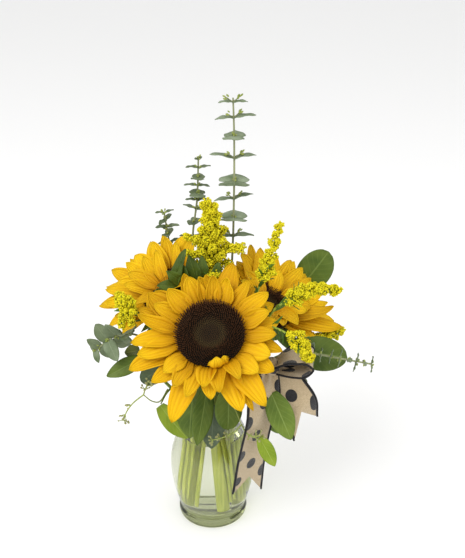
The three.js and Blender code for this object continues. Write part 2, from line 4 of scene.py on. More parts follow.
import bpy
import numpy as np
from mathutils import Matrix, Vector


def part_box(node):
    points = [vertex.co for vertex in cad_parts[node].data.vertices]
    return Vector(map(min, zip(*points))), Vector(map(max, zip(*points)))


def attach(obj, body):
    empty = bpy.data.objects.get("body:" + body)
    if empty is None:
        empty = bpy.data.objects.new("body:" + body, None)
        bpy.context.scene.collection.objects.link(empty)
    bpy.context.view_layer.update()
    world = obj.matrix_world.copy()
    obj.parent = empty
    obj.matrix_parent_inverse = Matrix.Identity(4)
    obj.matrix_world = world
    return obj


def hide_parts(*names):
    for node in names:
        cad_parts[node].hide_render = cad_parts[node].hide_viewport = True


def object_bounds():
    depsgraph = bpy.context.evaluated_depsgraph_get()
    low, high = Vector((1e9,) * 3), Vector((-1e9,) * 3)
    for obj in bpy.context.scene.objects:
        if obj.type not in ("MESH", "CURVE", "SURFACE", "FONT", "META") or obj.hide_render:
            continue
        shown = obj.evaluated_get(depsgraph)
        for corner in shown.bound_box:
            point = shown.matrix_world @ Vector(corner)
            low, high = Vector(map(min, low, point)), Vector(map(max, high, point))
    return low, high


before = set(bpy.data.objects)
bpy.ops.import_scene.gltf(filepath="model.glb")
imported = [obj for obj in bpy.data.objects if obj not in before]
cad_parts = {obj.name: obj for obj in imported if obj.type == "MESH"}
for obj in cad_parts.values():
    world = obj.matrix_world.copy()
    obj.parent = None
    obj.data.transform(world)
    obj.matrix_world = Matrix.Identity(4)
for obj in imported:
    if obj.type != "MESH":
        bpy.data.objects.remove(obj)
cadLow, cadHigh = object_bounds()
random.seed(12)
mm = 0.001
pathSteps = 400  # how finely a stem's path is divided
wallThick = {"petal": 0.5, "bract": 0.6, "leaf": 0.6, "smallLeaf": 0.5, "bladeLeaf": 0.4}  # mm


# small tools

def mode(name):
    bpy.ops.object.mode_set(mode=name)


def deselectAll():
    if bpy.context.object and bpy.context.object.mode != "OBJECT":
        mode("OBJECT")
    bpy.ops.object.select_all(action="DESELECT")


def makeActive(piece):
    deselectAll()
    piece.select_set(True)
    bpy.context.view_layer.objects.active = piece


def unit(v):
    v = np.asarray(v, float)
    return v / np.linalg.norm(v)


def easeIn(x, low, high):
    share = np.clip((x - low) / (high - low), 0, 1)
    return share * share * (3 - 2 * share)


# a smooth curve through the given points
def smoothPath(points, count):
    knots = np.asarray(points, float)
    last = len(knots) - 1
    found = []
    for f in np.linspace(0, last, count):
        i = min(int(f), last - 1)
        w = f - i
        b, c = knots[i], knots[i + 1]
        a = knots[i - 1] if i else 2 * b - c
        d = knots[i + 2] if i + 2 <= last else 2 * c - b
        g = [max(np.linalg.norm(q - p), 1e-9) ** 0.5 for p, q in ((a, b), (b, c), (c, d))]
        m1 = ((b - a) / g[0] - (c - a) / (g[0] + g[1]) + (c - b) / g[1]) * g[1]
        m2 = ((c - b) / g[1] - (d - b) / (g[1] + g[2]) + (d - c) / g[2]) * g[1]
        found.append(b + m1 * w + (3 * (c - b) - 2 * m1 - m2) * w * w + (2 * (b - c) + m1 + m2) * w ** 3)
    return np.array(found)


def pieceName(node):
    first, *others = node.split("_")
    return first + "".join(word.capitalize() for word in others)


# every piece rides on the one body, takes the given material and hides the CAD nodes it stands for
def settle(piece, nodes, material):
    piece.data.materials.clear()
    piece.data.materials.append(material)
    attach(piece, "root")
    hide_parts(*nodes)
    return piece


# many shaped copies of modelled patterns held in one mesh, with uv and a shade for each copy
def gather(name, copies):
    points, faces, flat, shade, rise = [], [], [], [], []
    start = 0
    for copy in copies:
        count = len(copy["points"])
        points.append(copy["points"])
        faces.extend([[start + i for i in face] for face in copy["faces"]])
        flat.append(copy.get("uv", np.zeros((count, 2))))
        shade.append(np.full(count, copy.get("shade", 0.5)))
        rise.append(copy.get("rise", np.zeros(count)))
        start += count
    mesh = bpy.data.meshes.new(name)
    mesh.from_pydata(np.concatenate(points).tolist(), [], faces)
    corner = np.empty(len(mesh.loops), int)
    mesh.loops.foreach_get("vertex_index", corner)
    mesh.uv_layers.new(name="UVMap").data.foreach_set("uv", np.concatenate(flat)[corner].ravel())
    for label, values in (("shade", shade), ("rise", rise)):
        mesh.attributes.new(label, "FLOAT", "POINT").data.foreach_set("value", np.concatenate(values))
    piece = bpy.data.objects.new(name, mesh)
    bpy.context.collection.objects.link(piece)
    makeActive(piece)
    bpy.ops.object.shade_smooth()
    return piece


def thicken(piece, thickness):
    makeActive(piece)
    wall = piece.modifiers.new("wall", "SOLIDIFY")
    wall.thickness = thickness
    wall.offset = 0
    bpy.ops.object.modifier_apply(modifier="wall")
    return piece


# a flat grid modelled once: along from 0 to 1, side from -1 to 1
def gridPattern(along, across):
    deselectAll()
    bpy.ops.mesh.primitive_grid_add(x_subdivisions=along, y_subdivisions=across, size=2)
    grid = bpy.context.object
    points = np.array([v.co for v in grid.data.vertices])
    faces = [list(p.vertices) for p in grid.data.polygons]
    bpy.data.objects.remove(grid)
    return (points[:, 0] + 1) / 2, points[:, 1], faces


def meshPattern(item):
    points = np.array([v.co for v in item.data.vertices])
    faces = [list(p.vertices) for p in item.data.polygons]
    bpy.data.objects.remove(item)
    return points, faces


# turned so that local x, y, z lie along the given directions
def placed(points, origin, x, y, z):
    return origin + points[:, :1] * x + points[:, 1:2] * y + points[:, 2:3] * z


def alongFrame(direction, facing):
    x = unit(direction)
    z = np.asarray(facing, float)
    z = unit(z - x * np.dot(z, x))
    return x, np.cross(z, x), z


def anyWay():
    return [random.gauss(0, 1) for _ in range(3)]


def stepAt(line, index):
    return line[index], unit(line[index + 1] - line[index])


def turnedAbout(way, along, degrees):
    angle = math.radians(degrees)
    return way * math.cos(angle) + np.cross(along, way) * math.sin(angle)


# one or more round stems in one mesh; each is (points in mm, radius at start, radius at end)
def stems(name, runs, sides=5, count=40):
    deselectAll()
    bpy.ops.curve.primitive_nurbs_path_add()
    curve = bpy.context.object
    curve.name = name
    curve.data.splines.clear()
    for points, radius, endRadius in runs:
        steps = count if len(points) > 3 else 8
        line = smoothPath(points, steps) * mm
        spline = curve.data.splines.new("POLY")
        spline.points.add(len(line) - 1)
        for i, at in enumerate(line):
            spline.points[i].co = (*at, 1)
            spline.points[i].radius = radius + (endRadius - radius) * i / (len(line) - 1)
    curve.data.dimensions = "3D"
    curve.data.bevel_depth = mm
    curve.data.bevel_resolution = sides
    curve.data.use_fill_caps = True
    curve.location = (0, 0, 0)
    bpy.ops.object.convert(target="MESH")
    bpy.ops.object.shade_smooth()
    return bpy.context.object


# materials

def newMaterial(name, roughness=0.5, **sockets):
    material = bpy.data.materials.new(name)
    material.use_nodes = True
    shader = material.node_tree.nodes["Principled BSDF"]
    shader.inputs["Roughness"].default_value = roughness
    for label, value in sockets.items():
        shader.inputs[label.replace("_", " ")].default_value = value
    return material, material.node_tree, shader


def put(tree, kind, settings=None, **inputs):
    made = tree.nodes.new("ShaderNode" + kind)
    for label, value in (settings or {}).items():
        setattr(made, label, value)
    for label, value in inputs.items():
        numbered = label[0] == "i" and label[1:].isdigit()
        socket = made.inputs[int(label[1:])] if numbered else made.inputs[label]
        if isinstance(value, bpy.types.NodeSocket):
            tree.links.new(value, socket)
        else:
            socket.default_value = value
    return made


def ramp(tree, value, stops):
    made = tree.nodes.new("ShaderNodeValToRGB")
    tree.links.new(value, made.inputs[0])
    while len(made.color_ramp.elements) < len(stops):
        made.color_ramp.elements.new(0.5)
    for element, (place, colour) in zip(made.color_ramp.elements, stops):
        element.position = place
        element.color = (*colour, 1)
    return made.outputs[0]


def mixColours(tree, factor, first, second, blend="MIX"):
    made = tree.nodes.new("ShaderNodeMix")
    made.data_type = "RGBA"
    made.blend_type = blend
    for socket, value in ((made.inputs[0], factor), (made.inputs[6], first), (made.inputs[7], second)):
        if isinstance(value, bpy.types.NodeSocket):
            tree.links.new(value, socket)
        elif isinstance(value, (int, float)):
            socket.default_value = value
        else:
            socket.default_value = (*value, 1)
    return made.outputs[2]


def maths(tree, operation, first, second=0.0):
    return put(tree, "Math", {"operation": operation}, i0=first, i1=second).outputs[0]


def times(tree, first, second):
    return maths(tree, "MULTIPLY", first, second)


def plus(tree, first, second):
    return maths(tree, "ADD", first, second)


def mapped(tree, coordinate, scale):
    source = put(tree, "TexCoord").outputs[coordinate]
    return put(tree, "Mapping", Vector=source, Scale=scale).outputs[0]


def noise(tree, coordinate, scale, detail, size=1.0):
    scales = scale if isinstance(scale, tuple) else (scale, scale, scale)
    place = mapped(tree, coordinate, scales)
    return put(tree, "TexNoise", Vector=place, Scale=size, Detail=detail).outputs["Fac"]


def flatParts(tree):
    return put(tree, "SeparateXYZ", Vector=put(tree, "TexCoord").outputs["UV"]).outputs


# a colour multiplied by a ramp on some value
def shaded(tree, colour, value, stops, amount=1.0):
    return mixColours(tree, amount, colour, ramp(tree, value, stops), "MULTIPLY")


def attribute(tree, name):
    return put(tree, "Attribute", {"attribute_name": name}).outputs["Fac"]


def finish(tree, shader, colour, height=None, strength=0.4, distance=0.0004):
    tree.links.new(colour, shader.inputs["Base Color"])
    if height is not None:
        bump = put(tree, "Bump", Strength=strength, Distance=distance, Height=height)
        tree.links.new(bump.outputs[0], shader.inputs["Normal"])


# the side colours are a brighter copy of the petal colours for the left and right heads: painted light,
# standing in for light those heads lack
petalColours = {
    "outer": [(0, (0.4, 0.14, 0.002)), (0.2, (0.64, 0.31, 0.003)), (0.55, (0.76, 0.44, 0.004)),
              (1, (0.82, 0.52, 0.006))],
    "inner": [(0, (0.38, 0.14, 0.002)), (0.25, (0.62, 0.32, 0.003)), (0.6, (0.74, 0.44, 0.004)),
              (1, (0.81, 0.53, 0.008))],
    "side": [(0, (0.46, 0.18, 0.002)), (0.22, (0.73, 0.39, 0.004)), (0.58, (0.87, 0.55, 0.006)),
             (1, (0.93, 0.64, 0.012))],
}


def petalMaterial(name, stops):
    material, tree, shader = newMaterial(name, 0.6, Specular_IOR_Level=0.12)
    streaks = noise(tree, "UV", (1.2, 9, 1), 5.0, 2.2)
    veins = put(tree, "TexWave", {"bands_direction": "Y"}, Vector=mapped(tree, "UV", (0.25, 1, 1)),
                Scale=1.5, Distortion=2.2, Detail=3.0)
    colour = ramp(tree, flatParts(tree)[0], stops)
    dark = times(tree, maths(tree, "POWER", veins.outputs["Fac"], 3.0), 0.26)
    colour = mixColours(tree, dark, colour, (0.56, 0.23, 0.003))
    colour = shaded(tree, colour, streaks, [(0.3, (0.86, 0.8, 0.8)), (0.7, (1.0, 1.0, 1.0))], 0.8)
    # the per-petal shade value is random tone from petal to petal, and painted shade and light where the
    # table sets it by a petal's place on the head
    colour = shaded(tree, colour, attribute(tree, "shade"), [(0, (0.72, 0.62, 0.5)), (1, (1.06, 1.06, 1.0))])
    height = plus(tree, veins.outputs["Fac"], times(tree, streaks, 0.6))
    finish(tree, shader, colour, height, 0.7, 0.0009)
    return material


def leafMaterial(name, dark, light, vein, roughness=0.42, bloom=0.0):
    material, tree, shader = newMaterial(name, roughness, Specular_IOR_Level=0.2)
    length, side = flatParts(tree)[:2]
    reach = maths(tree, "ABSOLUTE", side)
    patch = noise(tree, "Object", 60, 4.0)
    fine = noise(tree, "Object", 700, 3.0)
    colour = ramp(tree, patch, [(0.3, dark), (0.72, light)])
    # side veins sweep forward from the midrib
    swept = maths(tree, "SUBTRACT", times(tree, length, 44.0), times(tree, reach, 14.0))
    wave = plus(tree, times(tree, maths(tree, "SINE", swept), 0.5), 0.5)
    ridge = maths(tree, "POWER", wave, 14.0)
    midrib = maths(tree, "LESS_THAN", reach, 0.045)
    lines = maths(tree, "MAXIMUM", times(tree, ridge, 0.22), times(tree, midrib, 0.7))
    colour = mixColours(tree, lines, colour, vein)
    colour = shaded(tree, colour, attribute(tree, "shade"), [(0, (0.6, 0.6, 0.46)), (1, (1.12, 1.08, 1.0))])
    if bloom:
        wax = ramp(tree, patch, [(0.3, (0, 0, 0)), (0.8, (bloom, bloom, bloom))])
        wax = times(tree, wax, attribute(tree, "shade"))
        colour = mixColours(tree, wax, colour, (0.36, 0.42, 0.33))
    height = maths(tree, "SUBTRACT", times(tree, fine, 0.3), lines)
    finish(tree, shader, colour, height, 0.5, 0.0003)
    return material


# stems turn paler below the water line, where they are stripped and soaked
def stemMaterial(name, dark, light, roughness=0.5):
    material, tree, shader = newMaterial(name, roughness, Specular_IOR_Level=0.2)
    streaks = noise(tree, "Object", (420, 420, 14), 4.0)
    spots = noise(tree, "Object", 900, 2.0)
    colour = ramp(tree, streaks, [(0.32, dark), (0.66, light)])
    soaked = ramp(tree, streaks, [(0.3, (0.42, 0.48, 0.06)), (0.6, (0.66, 0.7, 0.14))])
    height = put(tree, "SeparateXYZ", Vector=put(tree, "TexCoord").outputs["Object"]).outputs[2]
    below = ramp(tree, times(tree, height, 5.0), [(0.48, (1, 1, 1)), (0.66, (0, 0, 0))])
    colour = mixColours(tree, below, colour, soaked)
    colour = shaded(tree, colour, spots, [(0.3, (0.85, 0.85, 0.85)), (0.6, (1, 1, 1))], 0.7)
    finish(tree, shader, colour, streaks, 0.5, 0.0005)
    return material


def discMaterial(name):
    material, tree, shader = newMaterial(name, 0.72, Specular_IOR_Level=0.1)
    colour = ramp(tree, attribute(tree, "shade"), [
        (0, (0.01, 0.01, 0.006)), (0.24, (0.016, 0.016, 0.008)), (0.36, (0.042, 0.042, 0.016)),
        (0.46, (0.032, 0.027, 0.01)), (0.54, (0.03, 0.013, 0.006)), (1, (0.044, 0.016, 0.007))])
    grain = noise(tree, "Object", 900, 3.0)
    colour = shaded(tree, colour, grain, [(0.3, (0.55, 0.5, 0.5)), (0.7, (1.25, 1.15, 1.1))])
    tip = times(tree, maths(tree, "POWER", attribute(tree, "rise"), 3.0), 0.35)
    colour = mixColours(tree, tip, colour, (0.16, 0.07, 0.025))
    finish(tree, shader, colour, grain, 0.6, 0.0004)
    return material


def bloomMaterial(name):
    material, tree, shader = newMaterial(name, 0.7, Specular_IOR_Level=0.08)
    colour = ramp(tree, attribute(tree, "rise"), [(0, (0.32, 0.35, 0.02)), (0.3, (0.6, 0.54, 0.015)),
                                                  (0.6, (0.76, 0.65, 0.015)), (1, (0.84, 0.72, 0.02))])
    colour = shaded(tree, colour, attribute(tree, "shade"), [(0, (0.8, 0.84, 0.8)), (1, (1.0, 1.0, 1.0))])
    grain = noise(tree, "Object", 1500, 2.0)
    finish(tree, shader, colour, grain, 0.4, 0.0002)
    return material


def clearMaterial(name, tint, ior, depth=None):
    material, tree, shader = newMaterial(name, 0.0, Transmission_Weight=1.0, IOR=ior)
    if depth:
        soak = put(tree, "VolumeAbsorption", Color=(*depth[0], 1), Density=depth[1])
        tree.links.new(soak.outputs[0], tree.nodes["Material Output"].inputs["Volume"])
    shader.inputs["Base Color"].default_value = (*tint, 1)
    passing = put(tree, "BsdfTransparent")
    passing.inputs[0].default_value = (*[0.5 + 0.5 * c for c in tint], 1)
    rays = put(tree, "LightPath")
    mixed = put(tree, "MixShader", i0=rays.outputs["Is Shadow Ray"])
    tree.links.new(shader.outputs[0], mixed.inputs[1])
    tree.links.new(passing.outputs[0], mixed.inputs[2])
    tree.links.new(mixed.outputs[0], tree.nodes["Material Output"].inputs["Surface"])
    return material


print("tools ready")

# camera, lights and floor

view = {"place": (0.0215, -0.81, 0.68), "tilt": 63.8, "lens": 59.7}
bpy.ops.object.camera_add(location=view["place"], rotation=(math.radians(view["tilt"]), 0, 0))
camera = bpy.context.object
camera.data.lens = view["lens"]
camera.data.clip_start = 0.01
bpy.context.scene.camera = camera

studio = {
    "sky": (1.0, 1.0, 1.0), "skyStrength": 0.88,
    "key": {"place": (-0.9, -1.1, 1.7), "size": 1.2, "power": 24},
    "fill": {"place": (1.3, -0.6, 1.1), "size": 1.4, "power": 7},
    "floorSize": 14,
}
world = bpy.context.scene.world or bpy.data.worlds.new("studioSky")
bpy.context.scene.world = world
world.use_nodes = True
bpy.context.scene.view_settings.view_transform = "Standard"
sky = world.node_tree.nodes["Background"]
sky.inputs[0].default_value = (*studio["sky"], 1)
sky.inputs[1].default_value = studio["skyStrength"]
for label in ("key", "fill"):
    lamp = studio[label]
    bpy.ops.object.light_add(type="AREA", location=lamp["place"])
    light = bpy.context.object
    light.name = label + "Light"
    light.data.size = lamp["size"]
    light.data.energy = lamp["power"]
    aim = Vector((0, 0, 0.2)) - light.location
    light.rotation_euler = aim.to_track_quat("-Z", "Y").to_euler()

bpy.ops.mesh.primitive_plane_add(size=studio["floorSize"], location=(0, 0, cadLow.z - 0.0003))
floor = bpy.context.object
floor.name = "studioFloor"
floorPaint, tree, shader = newMaterial("paleFloor", 0.6, Specular_IOR_Level=0.2)
shader.inputs["Base Color"].default_value = (0.95, 0.95, 0.945, 1)
floor.data.materials.append(floorPaint)
print("camera, lights and floor made")

# vase, raised ring by ring from its foot, over the rim and down inside

vase = {
    "height": 148, "water": 104, "sides": 96,
    "outer": [[33, 0], [35.6, 1.1], [36.6, 3.2], [37, 6.5], [36.6, 9.2], [35.3, 11.6], [36.4, 15.5],
              [38.4, 23], [42.8, 42], [45, 64], [43.5, 80], [39, 95], [33, 109], [30, 120], [31, 128],
              [34.2, 137], [37.2, 144]],
    "lip": [[38, 146.6], [37.8, 147.7], [36.9, 148], [36.0, 147.6], [35.5, 146.6]],
    "inner": [[34.8, 144], [31.8, 137.4], [28.6, 128.4], [27.6, 120], [30.6, 108.4], [36.4, 94.2],
              [41, 79.6], [42.6, 64], [40.4, 42.4], [36, 24.6], [33.2, 18.4], [29, 15], [20, 13.2],
              [8, 12.6]],
}
vaseHeight = (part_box("vase")[1].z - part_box("vase")[0].z) / (vase["height"] * mm)


def turnedShell(name, rings, sides):
    deselectAll()
    radius, height = rings[0]
    bpy.ops.mesh.primitive_circle_add(vertices=sides, radius=radius * mm, location=(0, 0, 0),
                                      fill_type="NOTHING")
    shell = bpy.context.object
    shell.name = name
    mode("EDIT")
    bpy.ops.mesh.select_mode(type="VERT")
    bpy.ops.mesh.select_all(action="SELECT")
    bpy.ops.transform.translate(value=(0, 0, height * mm))
    for nextRadius, nextHeight in rings[1:]:
        climb = (0, 0, (nextHeight - height) * mm)
        bpy.ops.mesh.extrude_region_move(TRANSFORM_OT_translate={"value": climb})
        share = nextRadius / radius
        bpy.ops.transform.resize(value=(share, share, 1), center_override=(0, 0, 0))
        radius, height = nextRadius, nextHeight
    bpy.ops.mesh.select_all(action="SELECT")
    bpy.ops.mesh.fill_holes(sides=0)
    bpy.ops.mesh.normals_make_consistent(inside=False)
    mode("OBJECT")
    bpy.ops.object.shade_smooth_by_angle(angle=math.radians(40))
    return shell


def finer(rings, count):
    return smoothPath([[r, h, 0] for r, h in rings], count)[:, :2].tolist()


glass = clearMaterial("vaseGlass", (0.975, 0.985, 0.965), 1.48, ((0.58, 0.62, 0.28), 42))
shellRings = [[0.4, 0.6], [12, 0.55], [26, 0.4], [31.5, 0.05]] + finer(vase["outer"], 52)
shellRings += finer([vase["outer"][-1]] + vase["lip"] + [vase["inner"][0]], 16)[1:-1]
shellRings += finer(vase["inner"], 46) + [[3, 12.55], [0.4, 12.55]]
shellRings = [[r, h * vaseHeight] for r, h in shellRings]
settle(turnedShell("vaseShell", shellRings, vase["sides"]), ["vase"], glass)

waterPaint = clearMaterial("vaseWater", (0.87, 0.875, 0.79), 1.33)
inside = finer(vase["inner"], 46)[::-1]
waterRings = [[0.4, 12.4], [6, 12.4]] + [[r + 0.2, h - 0.1] for r, h in inside if h < vase["water"] - 1.5]
edge = np.interp(vase["water"], [h for r, h in inside], [r for r, h in inside])
waterRings += [[edge + 0.2, vase["water"] + 0.9], [edge - 0.6, vase["water"] + 0.25]]
waterRings += [[r, vase["water"]] for r in (edge - 2, edge * 0.5, 0.4)]
waterRings = [[r, h * vaseHeight] for r, h in waterRings]
settle(turnedShell("vaseWater", waterRings, vase["sides"]), ["water"], waterPaint)
print("vase and water made")


# sunflower heads

def headFrame(name):
    def corners(node):
        return np.unique(np.round([v.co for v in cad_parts[node].data.vertices], 6), axis=0)
    disc = corners(name + "_disc")
    middle = disc.mean(0)
    facing = np.linalg.svd(disc - middle)[2][2]
    if np.dot(facing, middle - corners(name + "_bract_cup").mean(0)) < 0:
        facing = -facing
    centre = middle + facing * (((disc - middle) @ facing).min() + 5 * mm)
    across = unit(np.cross((0, 0, 1), facing))
    return {"centre": centre, "across": across, "up": np.cross(facing, across), "facing": facing}


def onHead(head, points):
    return placed(np.asarray(points) * mm, head["centre"], head["across"], head["up"], head["facing"])


# points given by their reach, their place to the side and their height, turned to one direction on the head
def aroundHead(head, direction, out, y, high):
    ahead, aside = math.cos(math.radians(direction)), math.sin(math.radians(direction))
    return onHead(head, np.stack([out * ahead - y * aside, out * aside + y * ahead, high], 1))


petalAlong, petalSidePaintedLight, petalFaces = gridPattern(22, 10)


# a petal starts under the disc's edge and rises, curls, folds and twists on its way out; mm on the head
def petal(head, direction, reach, lift, curl=-12, width=19, tip=0, fold=0.1, twist=0, bend=0, ridge=0.8,
          wave=0.5, base=27, low=-6.5, shade=0.6, blunt=3.5, long=0):
    t, s = petalAlong, petalSidePaintedLight
    length = long or (reach - base) / max(math.cos(math.radians(lift + curl / 2)), 0.2)
    steps = np.linspace(0, 1, 60)
    angles = np.radians(lift + curl * steps + tip * easeIn(steps, 0.62, 1.0))
    gone = np.concatenate([[0], np.cumsum(np.cos((angles[1:] + angles[:-1]) / 2)) / 59]) * length
    risen = np.concatenate([[0], np.cumsum(np.sin((angles[1:] + angles[:-1]) / 2)) / 59]) * length
    x, z = np.interp(t, steps, gone), np.interp(t, steps, risen)
    slope = np.interp(t, steps, angles)
    outline = (0.4 + 0.6 * easeIn(t, 0, 0.45)) * (1 - np.clip(t, 0, 1) ** blunt) ** 0.72 / 0.94
    half = np.maximum(width / 2 * outline, 0.25)
    phase = random.uniform(0, 6)
    side = s * half
    rise = fold * half * (1.2 * s * s - 0.2)
    rise = rise + ridge * np.cos(s * math.pi * 2.2) * easeIn(t, 0, 0.15) * (1 - easeIn(t, 0.75, 1)) * 0.6
    rise = rise + wave * np.sin(t * 9 + phase + s * 1.2) * s * s * easeIn(t, 0.15, 0.6)
    turned = math.radians(twist) * easeIn(t, 0.1, 1.0)
    y = side * np.cos(turned) - rise * np.sin(turned) + bend * t * t
    h = side * np.sin(turned) + rise * np.cos(turned)
    out = base + x - np.sin(slope) * h
    high = low + z + np.cos(slope) * h
    return {"points": aroundHead(head, direction, out, y, high), "faces": petalFaces,
            "uv": np.stack([t, s * 0.5 + 0.5], 1), "shade": shade}


# short petals that fill the middle of a head seen from its side; those given a low shade are painted darker,
# as painted shade
def tucked(base, curl, width, **special):
    return {"base": base, "low": 1, "curl": curl, "width": width, **special}


# petals are (direction in degrees, reach from the middle in mm, lift, what is special about it)
# on the front head the upper petals get a low shade, which is painted shade, and the lower petals a high
# shade, which is painted light
sunflowers = {
    "front": {
        "disc": 1.0,
        "outer": [
            (79, 76, 15, {"width": 22, "shade": 0.3, "blunt": 3.4}),
            (58, 69, 14, {"width": 18, "shade": 0.4}), (35, 67, 13, {"width": 18}),
            (14, 64, 12, {"width": 20}), (-6, 68, 8, {"width": 19}), (-28, 67, 4, {"width": 21}),
            (-46, 83, 1, {"width": 23, "shade": 0.8}), (-62, 76, 2, {"width": 23, "shade": 0.9}),
            (-54, 79, -3, {"width": 11, "shade": 0.5}), (-87, 60, 4, {"width": 17}),
            (-111, 86, -5, {"width": 23, "curl": -16, "shade": 0.85}), (-132, 69, 2, {"width": 19}),
            (-152, 82, 5, {"width": 20, "shade": 0.75}), (-173, 76, 8, {"width": 18}),
            (165, 74, 12, {"width": 20, "shade": 0.35}), (146, 70, 13, {"width": 20, "shade": 0.3}),
            (155, 73, 17, {"width": 23, "shade": 0.25}),
            (122, 67, 15, {"width": 16, "tip": 40, "shade": 0.45}),
            (99, 61, 18, {"width": 15, "tip": 30, "shade": 0.4})],
        "inner": [
            (92, 56, 32, {"width": 15, "tip": 45, "twist": 35, "shade": 0.4}),
            (76, 57, 30, {"width": 20, "tip": 60, "twist": -25, "fold": 0.35, "shade": 0.75}),
            (60, 62, 26, {"width": 15, "tip": 25, "shade": 0.5}),
            (43, 66, 24, {"width": 17, "bend": -5, "tip": 30}), (24, 58, 24, {"width": 18, "fold": 0.3}),
            (4, 61, 22, {"width": 18}),
            (-17, 60, 22, {"width": 22, "curl": -26, "shade": 0.9, "fold": -0.12}),
            (-38, 59, 24, {"width": 21, "curl": -30, "shade": 0.85, "fold": -0.1}),
            (-72, 58, 26, {"width": 17, "curl": -20, "tip": -30, "twist": 22, "fold": 0.4}),
            (-88, 53, 26, {"width": 19, "curl": -30, "fold": 0.35, "shade": 0.8, "blunt": 3.2}),
            (-102, 64, 14, {"width": 16, "shade": 0.7}), (-120, 60, 12, {"width": 17, "shade": 0.4}),
            (-134, 56, 24, {"width": 19, "curl": -34, "fold": -0.1, "shade": 0.8}),
            (-160, 70, 17, {"width": 20, "curl": -22, "shade": 0.9}),
            (-170, 74, 20, {"width": 19, "curl": -22, "shade": 0.85}),
            (176, 70, 24, {"width": 14, "fold": 0.35, "shade": 0.6}),
            (154, 60, 24, {"width": 18, "shade": 0.5}), (138, 59, 28, {"width": 20, "shade": 0.55}),
            (116, 59, 31, {"width": 21, "fold": 0.18, "shade": 0.6}),
            (104, 57, 34, {"width": 14, "tip": 60, "twist": 40, "shade": 0.4}),
            (-72, 40, 66, {"width": 18, "curl": 80, "base": 33, "long": 17, "low": -3, "shade": 0.9,
                           "fold": 0.35, "blunt": 2.2}),
            (-58, 40, 80, {"width": 10, "curl": 60, "base": 33, "long": 13, "low": -3, "shade": 0.8,
                           "fold": 0.4}),
            (-52, 55, 42, {"width": 15, "curl": -40, "twist": -20, "shade": 0.5})]},
    "left": {
        "disc": 0.8,
        "outer": [
            (-104, 62, 14), (-119, 72, 18), (-134, 77, 30), (-148, 76, 32), (-164, 83, 22, {"width": 20}),
            (-180, 84, 14, {"width": 20}), (162, 80, 20, {"width": 20}), (146, 77, 18),
            (131, 77, 14, {"width": 21}), (115, 68, 20, {"width": 21})],
        "inner": [
            (-111, 58, 28), (-127, 64, 34), (-142, 64, 42), (-157, 63, 36), (-172, 64, 30), (171, 63, 34),
            (154, 62, 32), (138, 62, 28), (122, 52, 34, {"width": 14}), (-166, 44, 46, tucked(10, -30, 17)),
            (-188, 46, 40, tucked(10, -30, 17)), (150, 42, 42, tucked(10, -26, 15)),
            (-146, 42, 48, tucked(12, -30, 16)), (-100, 34, 56, tucked(8, -50, 17, shade=0.2)),
            (-60, 32, 50, tucked(6, -50, 18, shade=0.2)), (-20, 32, 46, tucked(6, -50, 18, shade=0.2)),
            (40, 32, 46, tucked(6, -50, 18, shade=0.2))]},
    "right": {
        "disc": 0.8,
        "outer": [
            (92, 58, 18, {"width": 21}), (76, 58, 16, {"width": 22}), (60, 72, 14, {"width": 22}),
            (44, 72, 12), (28, 72, 16), (13, 76, 20), (-2, 74, 22), (-17, 73, 20), (-31, 77, 18),
            (-45, 77, 22), (-60, 77, 32), (-75, 66, 24)],
        "inner": [
            (69, 60, 28), (52, 62, 28), (36, 60, 30), (20, 62, 32), (5, 63, 34), (-10, 62, 34),
            (-24, 63, 32), (-38, 64, 34, {"tip": 40}), (-52, 64, 40, {"tip": 50}),
            (-44, 44, 62, {"base": 20, "low": 0, "curl": -60, "width": 17, "twist": 30}),
            (-14, 42, 58, {"base": 18, "low": 0, "curl": -50, "width": 16, "fold": 0.3}),
            (96, 40, 56, tucked(16, -50, 15)), (118, 40, 50, tucked(16, -40, 15)),
            (28, 40, 60, tucked(17, -60, 16)), (165, 33, 50, tucked(6, -50, 18, shade=0.3)),
            (-165, 33, 54, tucked(6, -55, 18, shade=0.25)), (-130, 34, 50, tucked(6, -50, 19, shade=0.3)),
            (-92, 35, 56, tucked(6, -60, 19, shade=0.45)), (140, 33, 46, tucked(6, -50, 18, shade=0.3)),
            (84, 36, 52, tucked(8, -55, 15, shade=0.4)), (-60, 36, 60, tucked(8, -60, 18, shade=0.6))]},
}
petalPaints = {ring: petalMaterial(label, petalColours[ring])
               for ring, label in (("outer", "petalBack"), ("inner", "petalFront"), ("side", "petalSidePaintedLight"))}
discPaint = discMaterial("discBrown")
bractPaint = leafMaterial("bractGreen", (0.06, 0.13, 0.02), (0.15, 0.26, 0.05), (0.22, 0.34, 0.1), 0.6)

# one disc floret, a five-sided tube that flares at its mouth
deselectAll()
bpy.ops.mesh.primitive_cone_add(vertices=5, radius1=0.55, radius2=0.75, depth=1, location=(0, 0, 0.5),
                                end_fill_type="NGON")
mode("EDIT")
bpy.ops.mesh.select_all(action="DESELECT")
mode("OBJECT")
floret = bpy.context.object
for face in floret.data.polygons:
    face.select = face.normal.z > 0.9
mode("EDIT")
bpy.ops.mesh.select_mode(type="FACE")
bpy.ops.mesh.inset(thickness=0.35, depth=-0.25)
mode("OBJECT")
bpy.ops.object.transform_apply(location=True)
floretPoints, floretFaces = meshPattern(floret)


def domeHeight(r):
    return np.interp(r, [0, 13, 19, 26, 31, 32], [0.2, 0.8, 3.0, 4.0, 2.2, -1.5])


